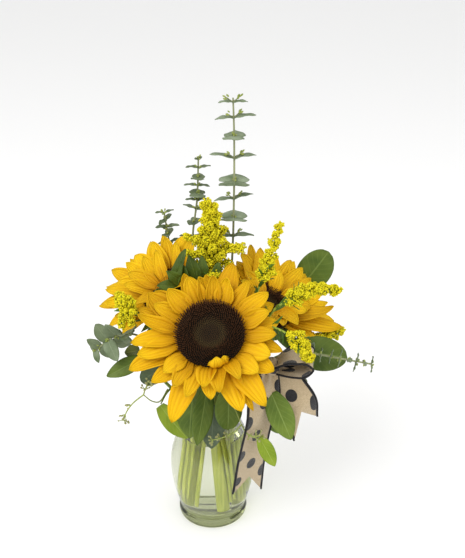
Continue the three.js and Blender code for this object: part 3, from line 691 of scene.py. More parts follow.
def discOf(name, head, scale, count=1150, radius=31.6):
    copies = []
    for i in range(count):
        r = radius * math.sqrt((i + 0.5) / count)
        a = math.radians(137.508 * i)
        share = r / radius
        tall = np.interp(share, [0, 0.3, 0.45, 0.55, 0.8, 1], [0.9, 1.0, 1.5, 3.0, 3.6, 3.8])
        tall = tall * random.uniform(0.8, 1.2)
        wide = np.interp(share, [0, 0.5, 1], [0.85, 0.95, 0.8])
        lean = np.interp(share, [0, 0.45, 0.8, 1], [0, -0.15, 0.15, 0.5])
        out = np.array([math.cos(a), math.sin(a), 0])
        up = unit(out * (lean + random.uniform(-0.12, 0.12)) + np.array([0, 0, 1]))
        x = unit(np.cross(up, (-out[1], out[0], 0)) * -1)
        y = np.cross(up, x)
        shape = floretPoints.copy()
        if share > 0.5:
            shape[:, :2] *= np.where(shape[:, 2:] > 0.5, random.uniform(0.45, 0.9), 1)
        start = out * r + np.array([0, 0, domeHeight(r) - 1.2])
        local = placed(shape * [wide, wide, tall + 0.8], start, x, y, up) * [scale, scale, 1]
        copies.append({"points": onHead(head, local), "faces": floretFaces, "uv": floretPoints[:, :2],
                       "shade": min(max(share + random.uniform(-0.03, 0.03), 0), 1),
                       "rise": floretPoints[:, 2].clip(0, 1)})
    return gather(name, copies)


def shellOnHead(name, head, rings, sides):
    shell = turnedShell(name, rings, sides)
    moved = onHead(head, np.array([v.co for v in shell.data.vertices]) / mm)
    for vertex, at in zip(shell.data.vertices, moved):
        vertex.co = at
    return shell


bractAlong, bractSide, bractFaces = gridPattern(10, 4)


def bract(head, direction, reach, low, lift, curl, width, base, shade):
    t, s = bractAlong, bractSide
    length = reach - base
    angle = np.radians(lift + curl * t)
    half = width / 2 * np.maximum(np.sin(np.pi * (0.25 + 0.75 * t)), 0) ** 1.1
    out = base + length * t * np.cos(np.radians(lift + curl * t / 2))
    high = low + length * t * np.sin(np.radians(lift + curl * t / 2)) + 0.2 * half * s * s * np.cos(angle)
    return {"points": aroundHead(head, direction, out, s * half, high), "faces": bractFaces,
            "uv": np.stack([t, s], 1), "shade": shade}


discRings = [[0.4, 0.0], [12, 0.4], [19, 2.0], [26, 2.6], [31, 0.4], [31.6, -3], [29, -5.4], [0.4, -5.4]]
cupRings = [[0.4, -28.6], [6.5, -28.4], [8.6, -27], [14, -25], [22, -20], [28, -15], [32.4, -11.4],
            [33, -9.8], [0.4, -9.6]]
bractRows = [(-12.5, 22, 50), (-17, 20, 46), (-21, 15, 38)]  # height, start and reach of each row
bractGap = {"front": 400, "left": -20, "right": 200}  # the side where the bracts stay short
heads = {name: headFrame(name) for name in sunflowers}
for name, kind in sunflowers.items():
    head = heads[name]
    for ring in ("outer", "inner"):
        copies = []
        for direction, reach, lift, *special in kind[ring]:
            shape = {"width": random.uniform(18, 22), "twist": random.uniform(-16, 16),
                     "bend": random.uniform(-4, 4),
                     "fold": random.uniform(-0.05, 0.32), "shade": random.uniform(0.25, 0.95),
                     "curl": random.uniform(-22, -6), "tip": random.uniform(-20, 35),
                     "wave": random.uniform(0.4, 1.3),
                     "low": -7.6 if ring == "outer" else -5.6, "base": 27 * kind["disc"] ** 1.4}
            shape.update(*special)
            copies.append(petal(head, direction, reach, lift, **shape))
        ringPiece = thicken(gather(f"{name}Petals{ring.capitalize()}", copies), wallThick["petal"] * mm)
        # the left and right heads take the brighter side paint, which is painted light
        paint = petalPaints[ring if name == "front" else "side"]
        settle(ringPiece, [f"{name}_petals_{ring}"], paint)
    settle(discOf(name + "Florets", head, kind["disc"]), [name + "_disc"], discPaint)
    body = shellOnHead(name + "DiscBody", head, [[r * kind["disc"], h] for r, h in discRings], 40)
    settle(body, [name + "_disc"], discPaint)
    settle(shellOnHead(name + "Calyx", head, cupRings, 48), [name + "_bract_cup"], bractPaint)
    bracts = []
    for layer, (low, base, reach) in enumerate(bractRows):
        for i in range(11):
            direction = 360 * (i + 0.37 * layer) / 11 + random.uniform(-5, 5)
            away = abs(((direction - bractGap[name] + 540) % 360) - 180)
            tip = reach * random.uniform(0.9, 1.05) - (14 if away < 60 else 0)
            bracts.append(bract(head, direction, tip, low, -4 + 3 * layer, random.uniform(6, 34), 12, base,
                                random.random()))
    bractPiece = thicken(gather(name + "Bracts", bracts), wallThick["bract"] * mm)
    settle(bractPiece, [name + "_bract_cup"], bractPaint)
print("sunflower heads made")

# stems, down through the neck to the vase floor

bundles = {"left": {"foot": (-19, -3), "neck": (-12, 2)}, "right": {"foot": (15, 0), "neck": (11, -1)}}


def rooted(side, neck, floorHeight):
    bundle = bundles[side]
    x = bundle["foot"][0] + 0.8 * (neck[0] - bundle["neck"][0])
    y = bundle["foot"][1] + 0.8 * (neck[1] - bundle["neck"][1])
    return [[x, y, floorHeight], [neck[0], neck[1], 122]]


flowerStems = {
    "front": ("right", (3, -14.5), 15, [[4, -17, 150], [6, -27, 185], [7, -41, 215]]),
    "left": ("left", (-12, 4), 17, [[-14, 7, 150], [-17, 9, 190], [-18, 10, 222]]),
    "right": ("right", (14, 5), 16, [[17, 6, 150], [22, 6, 185], [30, 6, 208]]),
}
flowerStemPaint = stemMaterial("flowerStemGreen", (0.2, 0.27, 0.035), (0.42, 0.47, 0.1))
for name, (side, neck, floorHeight, middle) in flowerStems.items():
    head = heads[name]
    ends = [(head["centre"] + head["facing"] * d * mm) / mm for d in (-40, -27)]
    run = (rooted(side, neck, floorHeight) + middle + [list(e) for e in ends], 5.3, 5.6)
    settle(stems(name + "FlowerStem", [run], 6, 90), [name + "_stem"], flowerStemPaint)
print("flower stems made")

# leaves

leafAlong, leafSide, leafFaces = gridPattern(26, 12)


def leafCopy(start, end, facing, width, fullness=0.7, base=0.1, curl=-14, cup=0.12, ruffle=0.6, shade=0.5,
             pattern=None):
    t, s, faces = pattern or (leafAlong, leafSide, leafFaces)
    start, end = np.array(start, float), np.array(end, float)
    length = np.linalg.norm(end - start)
    steps = np.linspace(0, 1, 40)
    angles = np.radians(-curl / 2 + curl * steps)
    gone = np.concatenate([[0], np.cumsum(np.cos(angles[1:])) / 39]) * length
    risen = np.concatenate([[0], np.cumsum(np.sin(angles[1:])) / 39]) * length
    half = width / 2 * np.maximum(np.sin(np.pi * (base + (1 - base) * t)), 0) ** fullness
    half = np.maximum(half, 0.3)
    phase = random.uniform(0, 6)
    rise = cup * half * np.abs(s) ** 1.4 - 0.5 * np.exp(-(s / 0.09) ** 2) * (1 - t)
    rise = rise + ruffle * np.sin(t * 11 + phase) * s * s * s
    local = np.stack([np.interp(t, steps, gone), half * s, np.interp(t, steps, risen) + rise], 1)
    x, y, z = alongFrame(end - start, facing)
    return {"points": placed(local, start, x, y, z) * mm, "faces": faces, "uv": np.stack([t, s], 1),
            "shade": shade}


greens = {
    "leaf": leafMaterial("leafGreen", (0.075, 0.135, 0.018), (0.15, 0.22, 0.035), (0.22, 0.31, 0.08)),
    "leaf_lime": leafMaterial("leafLime", (0.15, 0.24, 0.012), (0.25, 0.34, 0.03), (0.32, 0.41, 0.09)),
    "leaf_dark": leafMaterial("leafDark", (0.035, 0.06, 0.028), (0.075, 0.115, 0.055), (0.12, 0.17, 0.1),
                              0.5, 0.3),
    "leaf_grey": leafMaterial("leafGrey", (0.09, 0.13, 0.08), (0.16, 0.21, 0.13), (0.22, 0.27, 0.18),
                              0.6, 0.5),
    "leaf_olive": leafMaterial("leafOlive", (0.06, 0.08, 0.015), (0.13, 0.15, 0.03), (0.2, 0.22, 0.06)),
}
broadLeaves = {
    "leaf_front_wide": ([-16, -47, 190], [-21, -62, 137], [-0.25, -0.9, 0.3], 31, {"shade": 0.25}),
    "leaf_front_long": ([-3.4, -51.4, 190.3], [-13, -74, 137], [0.3, -0.9, 0.2], 21, {}),
    "leaf_front_round": ([18, -58.5, 190], [17, -69, 152], [0.1, -0.95, 0.3], 27, {"fullness": 0.5}),
    "leaf_over_rim": ([3, -44, 164], [0, -45, 112], [0, -1, 0.1], 25, {"curl": -6, "slot": "leaf_dark"}),
    "leaf_lime_left": ([-50, -47.5, 166], [-23, -57, 133], [-0.3, -0.8, 0.5], 20, {"slot": "leaf_lime"}),
    "leaf_left": ([-66, -43.5, 217], [-99, -56, 205], [-0.1, -0.8, 0.6], 17, {}),
    "leaf_left_round": ([-45, -47.5, 210], [-67, -53, 198], [0, -0.9, 0.4], 21,
                        {"fullness": 0.5, "slot": "leaf_dark"}),
    "leaf_olive": ([-68, -39, 224], [-83, -37, 220], [0, -0.8, 0.5], 13, {"slot": "leaf_olive"}),
    "leaf_right_big": ([84.5, -34.8, 220.4], [134, -31, 211], [0.1, -0.75, 0.6], 34,
                       {"fullness": 0.5, "shade": 0.02}),
    "leaf_right_grey": ([68.5, -41, 207], [94, -50, 195], [0.2, -0.6, 0.7], 11, {"slot": "leaf_grey"}),
    "leaf_right_front": ([58, -74, 198], [77, -92, 157], [0.1, -0.95, 0.3], 25, {"shade": 0.8}),
    "leaf_right_low": ([50.2, -55.4, 189], [66, -62, 143], [0.1, -0.95, 0.25], 22, {}),
    "leaf_back_round": ([96, 61, 245.2], [122, 70, 279], [0.1, -0.9, 0.4], 36,
                        {"fullness": 0.45, "shade": 0.2}),
    "leaf_blade_right": ([62, -38.5, 206], [100, -44, 235], [0.3, -0.8, 0.5], 9, {"slot": "leaf_grey"}),
    "leaf_lime_right": ([47, -93.5, 161], [62, -98, 131], [0.2, -0.9, 0.4], 15, {"slot": "leaf_lime"}),
}
for node, (start, end, facing, width, special) in broadLeaves.items():
    shape = dict(special)
    slotName = shape.pop("slot", "leaf")
    label = pieceName(node)
    shade = shape.pop("shade", random.uniform(0.3, 0.8))
    copy = leafCopy(start, end, facing, width, shade=shade, **shape)
    settle(thicken(gather(label, [copy]), wallThick["leaf"] * mm), [node], greens[slotName])

# dark leaves of the front head's own stalk fill the space up to the left head
hiddenLeaves = [
    ([-30, -18, 281], [-50, -29, 289], [-0.2, -0.75, 0.6], 13, 0.3),
    ([-26, -14, 285], [-41, -22, 301], [-0.3, -0.8, 0.5], 12, 0.5),
    ([-34, -17, 281], [-23, -8, 318], [-0.5, -0.8, 0.3], 12, 0.1),
    ([-12, -14, 286], [-20, -10, 312], [-0.2, -0.9, 0.4], 14, 0),
    ([-8, -13, 286], [-8, -8, 311], [0.2, -0.9, 0.4], 12, 0.1),
    ([-22, -14, 284], [-28, -14, 307], [-0.4, -0.8, 0.4], 13, 0.2),
    ([-38, -22, 278], [-54, -30, 281], [-0.4, -0.6, 0.7], 10, 0.4),
    ([4, -14, 284], [8, -9, 304], [0.2, -0.9, 0.4], 11, 0.3)]
copies = [leafCopy(start, end, facing, width, 0.75, 0.16, random.uniform(-50, -20), 0.25, 0.9, shade)
          for start, end, facing, width, shade in hiddenLeaves]
settle(thicken(gather("stalkLeaves", copies), wallThick["leaf"] * mm), ["left_bract_cup"],
       leafMaterial("stalkLeafGreen", (0.05, 0.095, 0.012), (0.13, 0.19, 0.025), (0.18, 0.25, 0.05)))
print("broad leaves made")

foliage = {
    "foliage_stem_front": ("left", (-6, -18.5), [[-7, -24, 150], [-8, -35, 172], [-6, -44, 188]],
                           [[[-8, -35, 172], [-12, -42, 184], [-15, -46, 189]],
                            [[-7, -42, 184], [4, -50, 190], [17, -57, 190]],
                            [[-6, -42, 186], [-5, -48, 190], [-3.6, -51, 190.5]],
                            [[-8, -33, 168], [-2, -40, 166], [2, -43, 164]]]),
    "foliage_stem_left": ("left", (-20, -9),
                          [[-27, -14, 150], [-42, -30, 178], [-54, -40, 202], [-66, -40, 220]],
                          [[[-40, -28, 174], [-45, -38, 172], [-49, -46, 167]],
                           [[-52, -38, 198], [-48, -44, 206], [-46, -46, 209]]]),
    "foliage_stem_right": ("right", (21, -8),
                           [[26, -14, 150], [44, -30, 178], [62, -37, 204], [84, -35, 220]],
                           [[[44, -30, 178], [46, -42, 186], [50, -55, 189]],
                            [[58, -36, 199], [63, -38, 204], [67, -40.5, 206]]]),
    "foliage_stem_back": ("right", (21, 12),
                          [[27, 16, 160], [54, 34, 198], [82, 53, 228], [96, 61, 245]], []),
}
foliagePaint = stemMaterial("foliageStemGreen", (0.13, 0.2, 0.03), (0.3, 0.38, 0.08))
for node, (side, neck, path, twigs) in foliage.items():
    label = pieceName(node)
    runs = [(rooted(side, neck, 24) + path, 2.0, 1.5)] + [(twig, 1.0, 0.7) for twig in twigs]
    settle(stems(label, runs, 3, 50), [node], foliagePaint)
print("foliage stems made")

# eucalyptus: paired waxy leaves, with small buds where they join

smallLeaf = gridPattern(9, 6)
deselectAll()
bpy.ops.mesh.primitive_ico_sphere_add(subdivisions=1, radius=1)
budPoints, budFaces = meshPattern(bpy.context.object)
eucalyptus = {
    "eucalyptus_tall": {
        "root": ("right", (4, 18)), "shade": (0.5, 1), "sprigs": True,
        "path": [[8, 22, 160], [15, 26, 220], [21, 28, 288], [23, 30, 362], [23, 30, 420], [22, 30, 453]],
        "levels": [(449, 0, 13, 8), (434, 8, 20, 10), (417, 84, 15, 21), (394, 0, 22, 10), (372, 90, 16, 30),
                   (354, 14, 20, 9), (334, 88, 15, 27), (315, 6, 21, 10)]},
    "eucalyptus_back": {
        "root": ("left", (-10, 15)), "shade": (0.2, 0.5), "sprigs": False,
        "path": [[-11, 24, 180], [-14, 32, 250], [-18, 33, 310], [-13, 33, 352], [-11, 33, 395]],
        "levels": [(393, 60, 6, 5), (384, 8, 12, 6), (374, 84, 9, 13), (366, 0, 13, 6), (358, 96, 11, 16),
                   (351, 20, 11, 6), (342, 0, 15, 7), (328, 70, 12, 11), (312, 10, 14, 8)]},
    "eucalyptus_left_back": {
        "root": ("left", (-17, 13)), "shade": (0.2, 0.5), "sprigs": False,
        "path": [[-24, 28, 170], [-36, 58, 235], [-44, 76, 282], [-49, 74, 322]],
        "levels": [(321, 10, 10, 5), (313, 60, 11, 7), (304, 0, 13, 7), (296, 70, 11, 9), (286, 20, 13, 8),
                   (276, 80, 12, 9), (264, 10, 13, 8)]},
    "eucalyptus_left_drooping": {
        "root": ("left", (-14, -9)), "shade": (0.15, 0.7), "sprigs": False,
        "path": [[-18, -18, 150], [-30, -38, 190], [-52, -47, 232], [-72, -45, 245], [-92, -43, 241],
                 [-110, -45, 227]],
        "facing": [-0.2, -0.8, 0.5],
        "along": [(0.74, 15, 25, 15), (0.83, -25, 27, 16), (0.9, 30, 22, 14), (0.96, -20, 17, 9),
                  (1, 60, 16, 7)]},
    "eucalyptus_right": {
        "root": ("right", (15.5, -18.5)), "shade": (0.4, 1), "sprigs": False,
        "path": [[22, -27, 150], [40, -38, 190], [61, -45, 217], [80, -45, 223], [100, -48, 225],
                 [129, -51, 221], [155, -50, 215]],
        "along": [(0.74 + 0.26 * i / 7, 60 + 90 * i, 12.5 - 0.6 * i, 5.2 - 0.2 * i) for i in range(8)]},
}
eucalyptusPaint = leafMaterial("eucalyptusGrey", (0.085, 0.13, 0.06), (0.17, 0.22, 0.115),
                               (0.22, 0.27, 0.17), 0.6, 0.7)
eucalyptusStemPaint = stemMaterial("eucalyptusStem", (0.17, 0.19, 0.09), (0.32, 0.34, 0.18))
budPaint = stemMaterial("budGreen", (0.2, 0.26, 0.05), (0.34, 0.38, 0.1))
for node, kind in eucalyptus.items():
    points = rooted(*kind["root"], 30) + kind["path"]
    label = pieceName(node)
    dense = smoothPath(points, pathSteps + 1)
    places = [(int(place * pathSteps), *size) for place, *size in kind.get("along", [])]
    places += [(int(np.abs(dense[:, 2] - height).argmin()), *size)
               for height, *size in kind.get("levels", [])]
    runs, leaves, buds = [(points, 1.6, 0.8)], [], []
    for index, turned, long, wide in places:
        index = min(index, pathSteps - 1)
        at, along = stepAt(dense, index)
        side = turnedAbout(unit(np.array([1, 0, 0]) - along * along[0]), along, turned)
        for sign in (1, -1):
            out = unit(side * sign + along * random.uniform(-0.06, 0.2))
            facing = np.array(kind["facing"]) if "facing" in kind else along - side * 0.15 * sign
            droop = 0.15 if long > wide else -0.2
            leaves.append(leafCopy(at, at + out * long * random.uniform(0.9, 1.1), facing, wide, 0.62, 0.16,
                                   random.uniform(-36, -12), droop, 0.4, random.uniform(*kind["shade"]),
                                   smallLeaf))
            reach = 8.5 if kind["sprigs"] and turned < 45 else 1.8
            spread = np.cross(along, side) * 0.2 * sign
            end = at + unit(side * sign + along * 0.8 + spread) * reach
            if reach > 5:
                runs.append(([at, (at + end) / 2, end], 0.55, 0.4))
            for _ in range(6 if reach > 5 else 3):
                spot = end + np.array([random.uniform(-1.8, 1.8) for _ in range(3)])
                x, y, z = alongFrame(np.cross(out, (0.3, 0.5, 0.8)), unit(spot - at + along))
                size = random.uniform(0.7, 1.1)
                buds.append({"points": placed(budPoints * [size, size, size * 1.9], spot, x, y, z) * mm,
                             "faces": budFaces, "shade": random.random()})
    settle(stems(label + "Stem", runs, 3, 60), [node], eucalyptusStemPaint)
    leafPiece = thicken(gather(label + "Leaves", leaves), wallThick["smallLeaf"] * mm)
    settle(leafPiece, [node], eucalyptusPaint)
    settle(gather(label + "Buds", buds), [node], budPaint)
print("eucalyptus made")

# goldenrod: side branches crowded with tiny flowers

deselectAll()
bpy.ops.mesh.primitive_cone_add(vertices=6, radius1=0.25, radius2=1.2, depth=1.7, location=(0, 0, 0.85))
tiny = bpy.context.object
bpy.ops.object.transform_apply(location=True)
for vertex in tiny.data.vertices:
    vertex.select = False
mode("EDIT")
bpy.ops.mesh.select_mode(type="VERT")
bpy.ops.mesh.select_all(action="DESELECT")
mode("OBJECT")
topCorners = sorted((v.index for v in tiny.data.vertices if v.co.z > 0.8),
                    key=lambda i: math.atan2(tiny.data.vertices[i].co.y, tiny.data.vertices[i].co.x))
for index in topCorners[::2]:
    tiny.data.vertices[index].select = True
mode("EDIT")
bpy.ops.transform.resize(value=(0.42, 0.42, 1), center_override=(0, 0, 0.8))
bpy.ops.transform.translate(value=(0, 0, 0.15))
mode("OBJECT")
tinyPoints, tinyFaces = meshPattern(tiny)
tinyRise = (tinyPoints[:, 2] / tinyPoints[:, 2].max()).clip(0, 1)

goldenrods = {
    "goldenrod_tall": {
        "root": ("left", (-3, 13)), "start": 0.76, "branches": 40, "long": 30, "thick": 5.2,
        "path": [[-2, 13, 170], [0, 10, 230], [2, 8, 290], [0, 8, 353]],
        "lobes": [([4, 8, 298], [1, 0, 0.55], 32), ([-2, 8, 304], [-0.8, 0, 0.7], 30),
        ([4, 6, 306], [0.9, -0.3, 0.25], 30), ([0, 6, 296], [-0.9, -0.2, 0.5], 26)]},
    "goldenrod_upright": {
        "root": ("right", (11, -15.5)), "start": 0.74, "branches": 22, "long": 14, "thick": 3.2,
        "path": [[13, -22, 150], [24, -36, 200], [30, -42, 245], [40, -34, 272], [48, -27, 290],
        [56, -18, 310], [66, -8, 342]],
        "lobes": []},
    "goldenrod_right": {
        "root": ("right", (19, -13)), "start": 0.7, "branches": 22, "long": 15, "thick": 3.2,
        "path": [[24, -24, 155], [36, -33, 205], [46, -44, 240], [60, -47, 272], [76, -48, 284],
        [94, -48, 293], [118, -45, 292]],
        "lobes": []},
    "goldenrod_low_right": {
        "root": ("right", (14.5, -11)), "start": 0.76, "branches": 18, "long": 13, "thick": 3.2,
        "path": [[19, -20, 150], [30, -35, 200], [39, -39, 232], [52, -57, 260], [70, -72, 262],
        [84, -79, 252], [92, -81, 240]],
        "lobes": []},
    "goldenrod_right_back": {
        "root": ("right", (22, -1.5)), "start": 0.76, "branches": 16, "long": 13, "thick": 3,
        "path": [[28, -4, 155], [50, -12, 190], [78, -14, 208], [104, -12, 219], [130, -8, 227]],
        "lobes": []},
    "goldenrod_left": {
        "root": ("left", (-21, 4)), "start": 0.8, "branches": 18, "long": 15, "thick": 3.6,
        "path": [[-25, -5, 150], [-35, -24, 190], [-48, -36, 232], [-62, -38, 256], [-75, -44, 272],
        [-82, -51, 286]],
        "lobes": [([-78, -50, 280], [-0.2, -0.1, -1], 24), ([-78, -50, 278], [0.3, -0.2, -0.9], 20)]},
    "goldenrod_middle": {
        "root": ("left", (-4, 1)), "start": 0.91, "branches": 12, "long": 12, "thick": 3,
        "path": [[-4, 0, 170], [-3, -3, 230], [1, -9, 276], [3, -10, 290]],
        "lobes": []},
}
bloomPaint = bloomMaterial("goldenrodYellow")
goldenrodStemPaint = stemMaterial("goldenrodStem", (0.2, 0.28, 0.03), (0.36, 0.44, 0.06))
goldLeaf = leafMaterial("goldenrodLeaf", (0.05, 0.13, 0.015), (0.12, 0.24, 0.035), (0.18, 0.3, 0.08))
for node, kind in goldenrods.items():
    points = rooted(*kind["root"], 26) + kind["path"]
    label = pieceName(node)
    dense = smoothPath(points, pathSteps + 1)
    runs, blooms, leaves = [(points, 1.8, 0.8)], [], []
    shoots = [(np.array(a, float), unit(d), length) for a, d, length in kind["lobes"]]
    for i in range(kind["branches"]):
        share = i / (kind["branches"] - 1)
        index = min(int((kind["start"] + (0.985 - kind["start"]) * share) * pathSteps), pathSteps - 1)
        at, along = stepAt(dense, index)
        away = np.array([0.3, -1, 0.2])
        away = turnedAbout(unit(away - along * np.dot(away, along)), along, 137.5 * i)
        out = unit(away * 0.75 * (1 - 0.6 * share) + along * 0.7)
        shoots.append((at, out, kind["long"] * (1 - 0.5 * share) * random.uniform(0.75, 1.05)))
    for at, out, length in shoots:
        bow = np.array([0, 0, 1]) - out * out[2]
        tip = at + out * length
        middle = at + out * length * 0.55 + bow * length * 0.1
        runs.append(([at, middle, tip], 0.45, 0.3))
        line = smoothPath([at, middle, tip], 24)
        for _ in range(max(int(length * 7.6), 20)):
            place = random.uniform(0.12, 1) ** 0.8
            index = min(int(place * 23), 22)
            middlePlace, direction = stepAt(line, index)
            outward = unit(np.cross(direction, anyWay()))
            up = unit(outward + direction * random.uniform(0.3, 0.9) + [0, 0, 0.35])
            gap = kind["thick"] * (1 - 0.45 * place) * random.uniform(0, 1) ** 0.75
            x, y, z = alongFrame(np.cross(up, anyWay()), up)
            size = random.uniform(0.8, 1.25)
            spot = middlePlace + up * gap
            blooms.append({"points": placed(tinyPoints * size, spot, x, y, z) * mm, "faces": tinyFaces,
                           "uv": tinyPoints[:, :2], "shade": random.random(), "rise": tinyRise})
    for i in range(9):
        index = int((kind["start"] - 0.1 + 0.2 * i / 9) * pathSteps)
        at, along = stepAt(dense, index)
        away = unit(np.cross(along, anyWay()))
        tip = at + (away * 0.8 + along * 0.6) * random.uniform(12, 17)
        leaves.append(leafCopy(at, tip, unit(along - away * 0.3), 3.6, 0.8, 0.15, -20, 0.2, 0.2,
                               random.random(), smallLeaf))
    settle(stems(label + "Stem", runs, 2, 50), [node], goldenrodStemPaint)
    settle(gather(label + "Flowers", blooms), [node], bloomPaint)
    leafPiece = thicken(gather(label + "Leaves", leaves), wallThick["bladeLeaf"] * mm)
    settle(leafPiece, [node], goldLeaf)
print("goldenrod made")

# budded twigs

twigs = {
    "budded_twig_left": [
        [[-43, -32, 175], [-50, -48, 171], [-57, -56, 177], [-64, -62, 188]],
        [[-64, -62, 188], [-62, -61, 194], [-59, -60, 201]],
        [[-64, -62, 188], [-74, -64, 180], [-81, -65, 170], [-84, -66, 161]]],
    "budded_twig_front": [
        [[8, -54, 191.5], [16, -64, 190], [24, -75, 180], [30, -84, 169]],
        [[30, -84, 169], [35, -97, 168], [41, -98.5, 165], [46.5, -93, 162]],
        [[30, -84, 169], [22, -81, 157], [12, -80, 151], [2, -80, 148]]],
}
twigPaint = stemMaterial("twigGreen", (0.2, 0.25, 0.05), (0.36, 0.42, 0.12))
twigBudPaint = stemMaterial("twigBud", (0.24, 0.24, 0.08), (0.42, 0.42, 0.2))
for node, runsAt in twigs.items():
    label = pieceName(node)
    runs, buds = [(points, 0.75, 0.55) for points in runsAt], []
    for points in runsAt[1:]:
        dense = smoothPath(points, 60)
        for place in (0.45, 0.75, 1.0):
            index = min(int(place * 59), 58)
            at, along = stepAt(dense, index)
            for _ in range(6):
                out = unit(np.cross(along, anyWay()) + along * 0.7)
                end = at + out * random.uniform(3.5, 6.0)
                runs.append(([at, (at + end) / 2, end], 0.4, 0.3))
                x, y, z = alongFrame(np.cross(out, (0.3, 0.5, 0.8)), out)
                size = random.uniform(0.85, 1.25)
                buds.append({"points": placed(budPoints * [size, size, size * 1.3], end, x, y, z) * mm,
                             "faces": budFaces, "shade": random.random()})
    settle(stems(label + "Stem", runs, 2, 24), [node], twigPaint)
    settle(gather(label + "Buds", buds), [node], twigBudPaint)
print("twigs made")

# ribbon bow

ribbon = {"width": 38, "thick": 0.5, "edge": 1.0, "knot": (58, -64, 221), "dotWide": 5.7, "dotLong": 6.4,
          "cellAcross": 33, "cellAlong": 36, "threadGap": 1.05, "hem": 2.0, "steps": 600}


def ribbonMaterial(name):
    material, tree, shader = newMaterial(name, 0.85, Specular_IOR_Level=0.15, Sheen_Weight=0.3)
    across, along = flatParts(tree)[:2]
    pitch = 2 * math.pi / ribbon["threadGap"]
    weft = maths(tree, "SINE", times(tree, along, pitch))
    warp = maths(tree, "SINE", times(tree, across, pitch))
    weave = plus(tree, times(tree, times(tree, weft, warp), 0.5), 0.5)
    slub = noise(tree, "UV", (0.35, 1.6, 1), 4.0)
    slubUp = noise(tree, "UV", (1.6, 0.35, 1), 4.0)
    threads = plus(tree, times(tree, slub, 0.5),
                    times(tree, slubUp, 0.5))
    tan = ramp(tree, plus(tree, times(tree, weave, 0.3), times(tree, threads, 0.7)),
               [(0.25, (0.26, 0.185, 0.095)), (0.5, (0.52, 0.405, 0.25)), (0.8, (0.69, 0.56, 0.37))])
    dots = None
    for shift in (0.0, 0.5):
        reach = []
        for value, size, half in ((across, ribbon["cellAcross"], ribbon["dotWide"]),
                                  (along, ribbon["cellAlong"], ribbon["dotLong"])):
            place = plus(tree, maths(tree, "DIVIDE", value, size), shift + 0.5)
            offset = maths(tree, "SUBTRACT", maths(tree, "FRACT", place), 0.5)
            reach.append(maths(tree, "POWER", times(tree, offset, size / half), 2.0))
        inDot = maths(tree, "LESS_THAN", plus(tree, reach[0], reach[1]), 1.0)
        dots = inDot if dots is None else maths(tree, "MAXIMUM", dots, inDot)
    hem = maths(tree, "GREATER_THAN", maths(tree, "ABSOLUTE", across), ribbon["width"] / 2 - ribbon["hem"])
    dark = maths(tree, "MAXIMUM", dots, hem)
    ink = ramp(tree, threads, [(0.3, (0.008, 0.008, 0.01)), (0.8, (0.04, 0.038, 0.04))])
    finish(tree, shader, mixColours(tree, dark, tan, ink), plus(tree, weave, threads), 0.7, 0.0005)
    return material


def threadMaterial():
    material, tree, shader = newMaterial("blackThread", 0.8, Specular_IOR_Level=0.2)
    grain = noise(tree, "Object", 1300, 2.0)
    colour = ramp(tree, grain, [(0.3, (0.004, 0.004, 0.005)), (0.7, (0.03, 0.028, 0.03))])
    finish(tree, shader, colour, grain, 0.8, 0.0006)
    return material


ribbonPaint, threadPaint = ribbonMaterial("burlapDots"), threadMaterial()
stripAlong, stripSide, stripFaces = gridPattern(72, 14)
bow = {
    "ribbon_loop_right": {
        "path": [[2, -2, 3], [16, -3, 13], [31, -3, 15], [39, -2, 9], [35, -1, 1], [20, -1, -3], [4, -2, -3]],
        "across": [[0, 1, 0], [0.1, 1, 0.1], [0.1, 1, 0]],
        "wide": 34, "pinchEnd": True, "held": "gathered"},
    "ribbon_loop_left": {
        "path": [[-5, 2, 6], [-11, 3, 11], [-20, 5, 11], [-25, 7, 5], [-22, 7, -3], [-14, 4, -4],
        [-8.4, 2, -2]],
        "across": [[0, 1, 0], [-0.1, 1, 0.1], [0, 1, 0]],
        "wide": 31, "pinchEnd": True, "held": "gathered"},
    "ribbon_tail_long": {
        "path": [[-1, -4, -3], [-5, -12, -19], [-9, -19, -42], [-14, -20, -68], [-18, -17, -94],
        [-20, -13, -116], [-22, -13, -137]],
        "across": [[1, 0.2, 0], [0.75, 0.65, 0], [0.7, 0.7, 0], [0.8, 0.6, 0]],
        "notch": 19, "slant": 5, "shift": 6, "held": "hung"},
    "ribbon_tail_short": {
        "path": [[2, -2, -2], [7, -2, -12], [17, -4, -26], [28, -8, -42], [34, -12, -62]],
        "across": [[0.8, 0.3, 0.5], [0.75, 0.4, 0.5], [0.36, 0.66, 0.64]],
        "notch": 18, "slant": -3, "shift": 3, "held": "hung"},
}


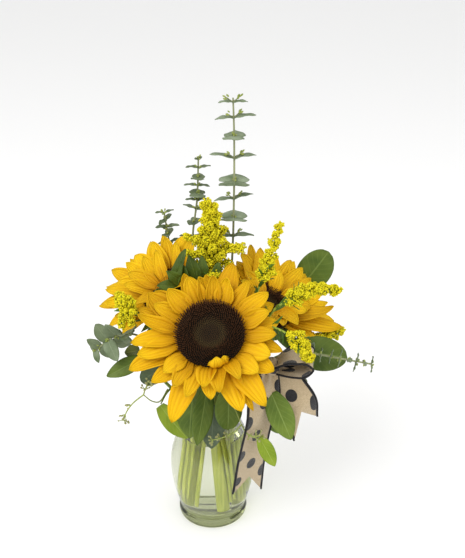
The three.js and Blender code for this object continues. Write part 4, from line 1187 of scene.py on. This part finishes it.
def strip(kind):
    knot = np.array(ribbon["knot"], float)
    path = np.array(kind["path"], float) + knot
    steps = ribbon["steps"]
    line = smoothPath(path, steps + 1)
    turns = smoothPath(kind["across"], steps + 1)
    gone = np.concatenate([[0], np.cumsum(np.linalg.norm(np.diff(line, axis=0), axis=1))])
    wide, notch = kind.get("wide", ribbon["width"]), kind.get("notch", 0)
    points = np.zeros((len(stripAlong), 3))
    flat = np.zeros((len(stripAlong), 2))
    for i, (t, s) in enumerate(zip(stripAlong, stripSide)):
        index = min(int(t * steps), steps - 1)
        along = unit(line[index + 1] - line[index])
        across = unit(turns[index] - along * np.dot(turns[index], along))
        normal = np.cross(along, across)
        far = min((1 - t) / 0.25, 1) if kind.get("pinchEnd") else 1
        squeeze = min(t / 0.25, 1, far)
        half = wide / 2 * (0.4 + 0.6 * squeeze)
        pleat = 1.6 * math.cos(s * math.pi * 2.5) * (1 - squeeze) + 0.7 * math.sin(t * 9 + s * 1.5) * squeeze
        row = min(int(round(t * steps)), steps)
        at = line[row] + across * s * half + normal * pleat
        back = (notch * (1 - abs(s)) - kind.get("slant", 0) * s) * max((t - 0.7) / 0.3, 0)
        points[i] = at - along * back
        flat[i] = (s * ribbon["width"] / 2, gone[row] - back + kind.get("shift", 0))
    return points, flat, gone[-1]


for node, kind in bow.items():
    points, flat, length = strip(kind)
    label = pieceName(node)
    piece = gather(label, [{"points": points * mm, "faces": stripFaces, "uv": flat}])
    thicken(piece, ribbon["thick"] * mm)
    settle(piece, [node], ribbonPaint)
    edges = []
    for sign in (-1, 1):
        picked = [i for i in range(len(points)) if stripSide[i] * sign > 0.999]
        picked.sort(key=lambda i: stripAlong[i])
        edges.append((points[picked], ribbon["edge"], ribbon["edge"]))
    thread = stems(label + "Edge", edges, 2, 90)
    settle(thread, [node], threadPaint)

# the knot, a small squashed ball crinkled into folds around its sides
deselectAll()
bpy.ops.mesh.primitive_uv_sphere_add(segments=36, ring_count=20, radius=1, location=(0, 0, 0))
knot = bpy.context.object
knot.name = "ribbonKnot"
mode("EDIT")
bpy.ops.mesh.select_all(action="SELECT")
bpy.ops.transform.resize(value=(0.0088, 0.0084, 0.0096), center_override=(0, 0, 0))
bpy.ops.transform.translate(value=tuple(c * mm for c in ribbon["knot"]))
mode("OBJECT")
knotAt = Vector(ribbon["knot"]) * mm
for vertex in knot.data.vertices:
    away = vertex.co - knotAt
    fold = 1 - 0.09 * abs(math.sin(math.atan2(away.y, away.x) * 5 + away.z * 150))
    vertex.co = knotAt + Vector((away.x * fold, away.y * fold, away.z))
bpy.ops.object.shade_smooth()
layer = knot.data.uv_layers.active.data
for loop, place in zip(knot.data.loops, layer):
    away = (knot.data.vertices[loop.vertex_index].co - knotAt) / mm
    place.uv = (away.z * 1.4, math.atan2(away.y, away.x) * 8 + 9)
settle(knot, ["ribbon_knot"], ribbonPaint)

pickPath = [[14, -28, 150], [30, -42, 185], [50, -56, 210], [53.5, -59.5, 215]]
pickPoints = rooted("right", (9, -20), 60) + pickPath
settle(stems("bowPick", [(pickPoints, 1.2, 1.1)], 3, 50), ["ribbon_pick"],
       stemMaterial("pickWood", (0.25, 0.22, 0.09), (0.42, 0.38, 0.18)))
print("bow made")

bpy.context.view_layer.update()
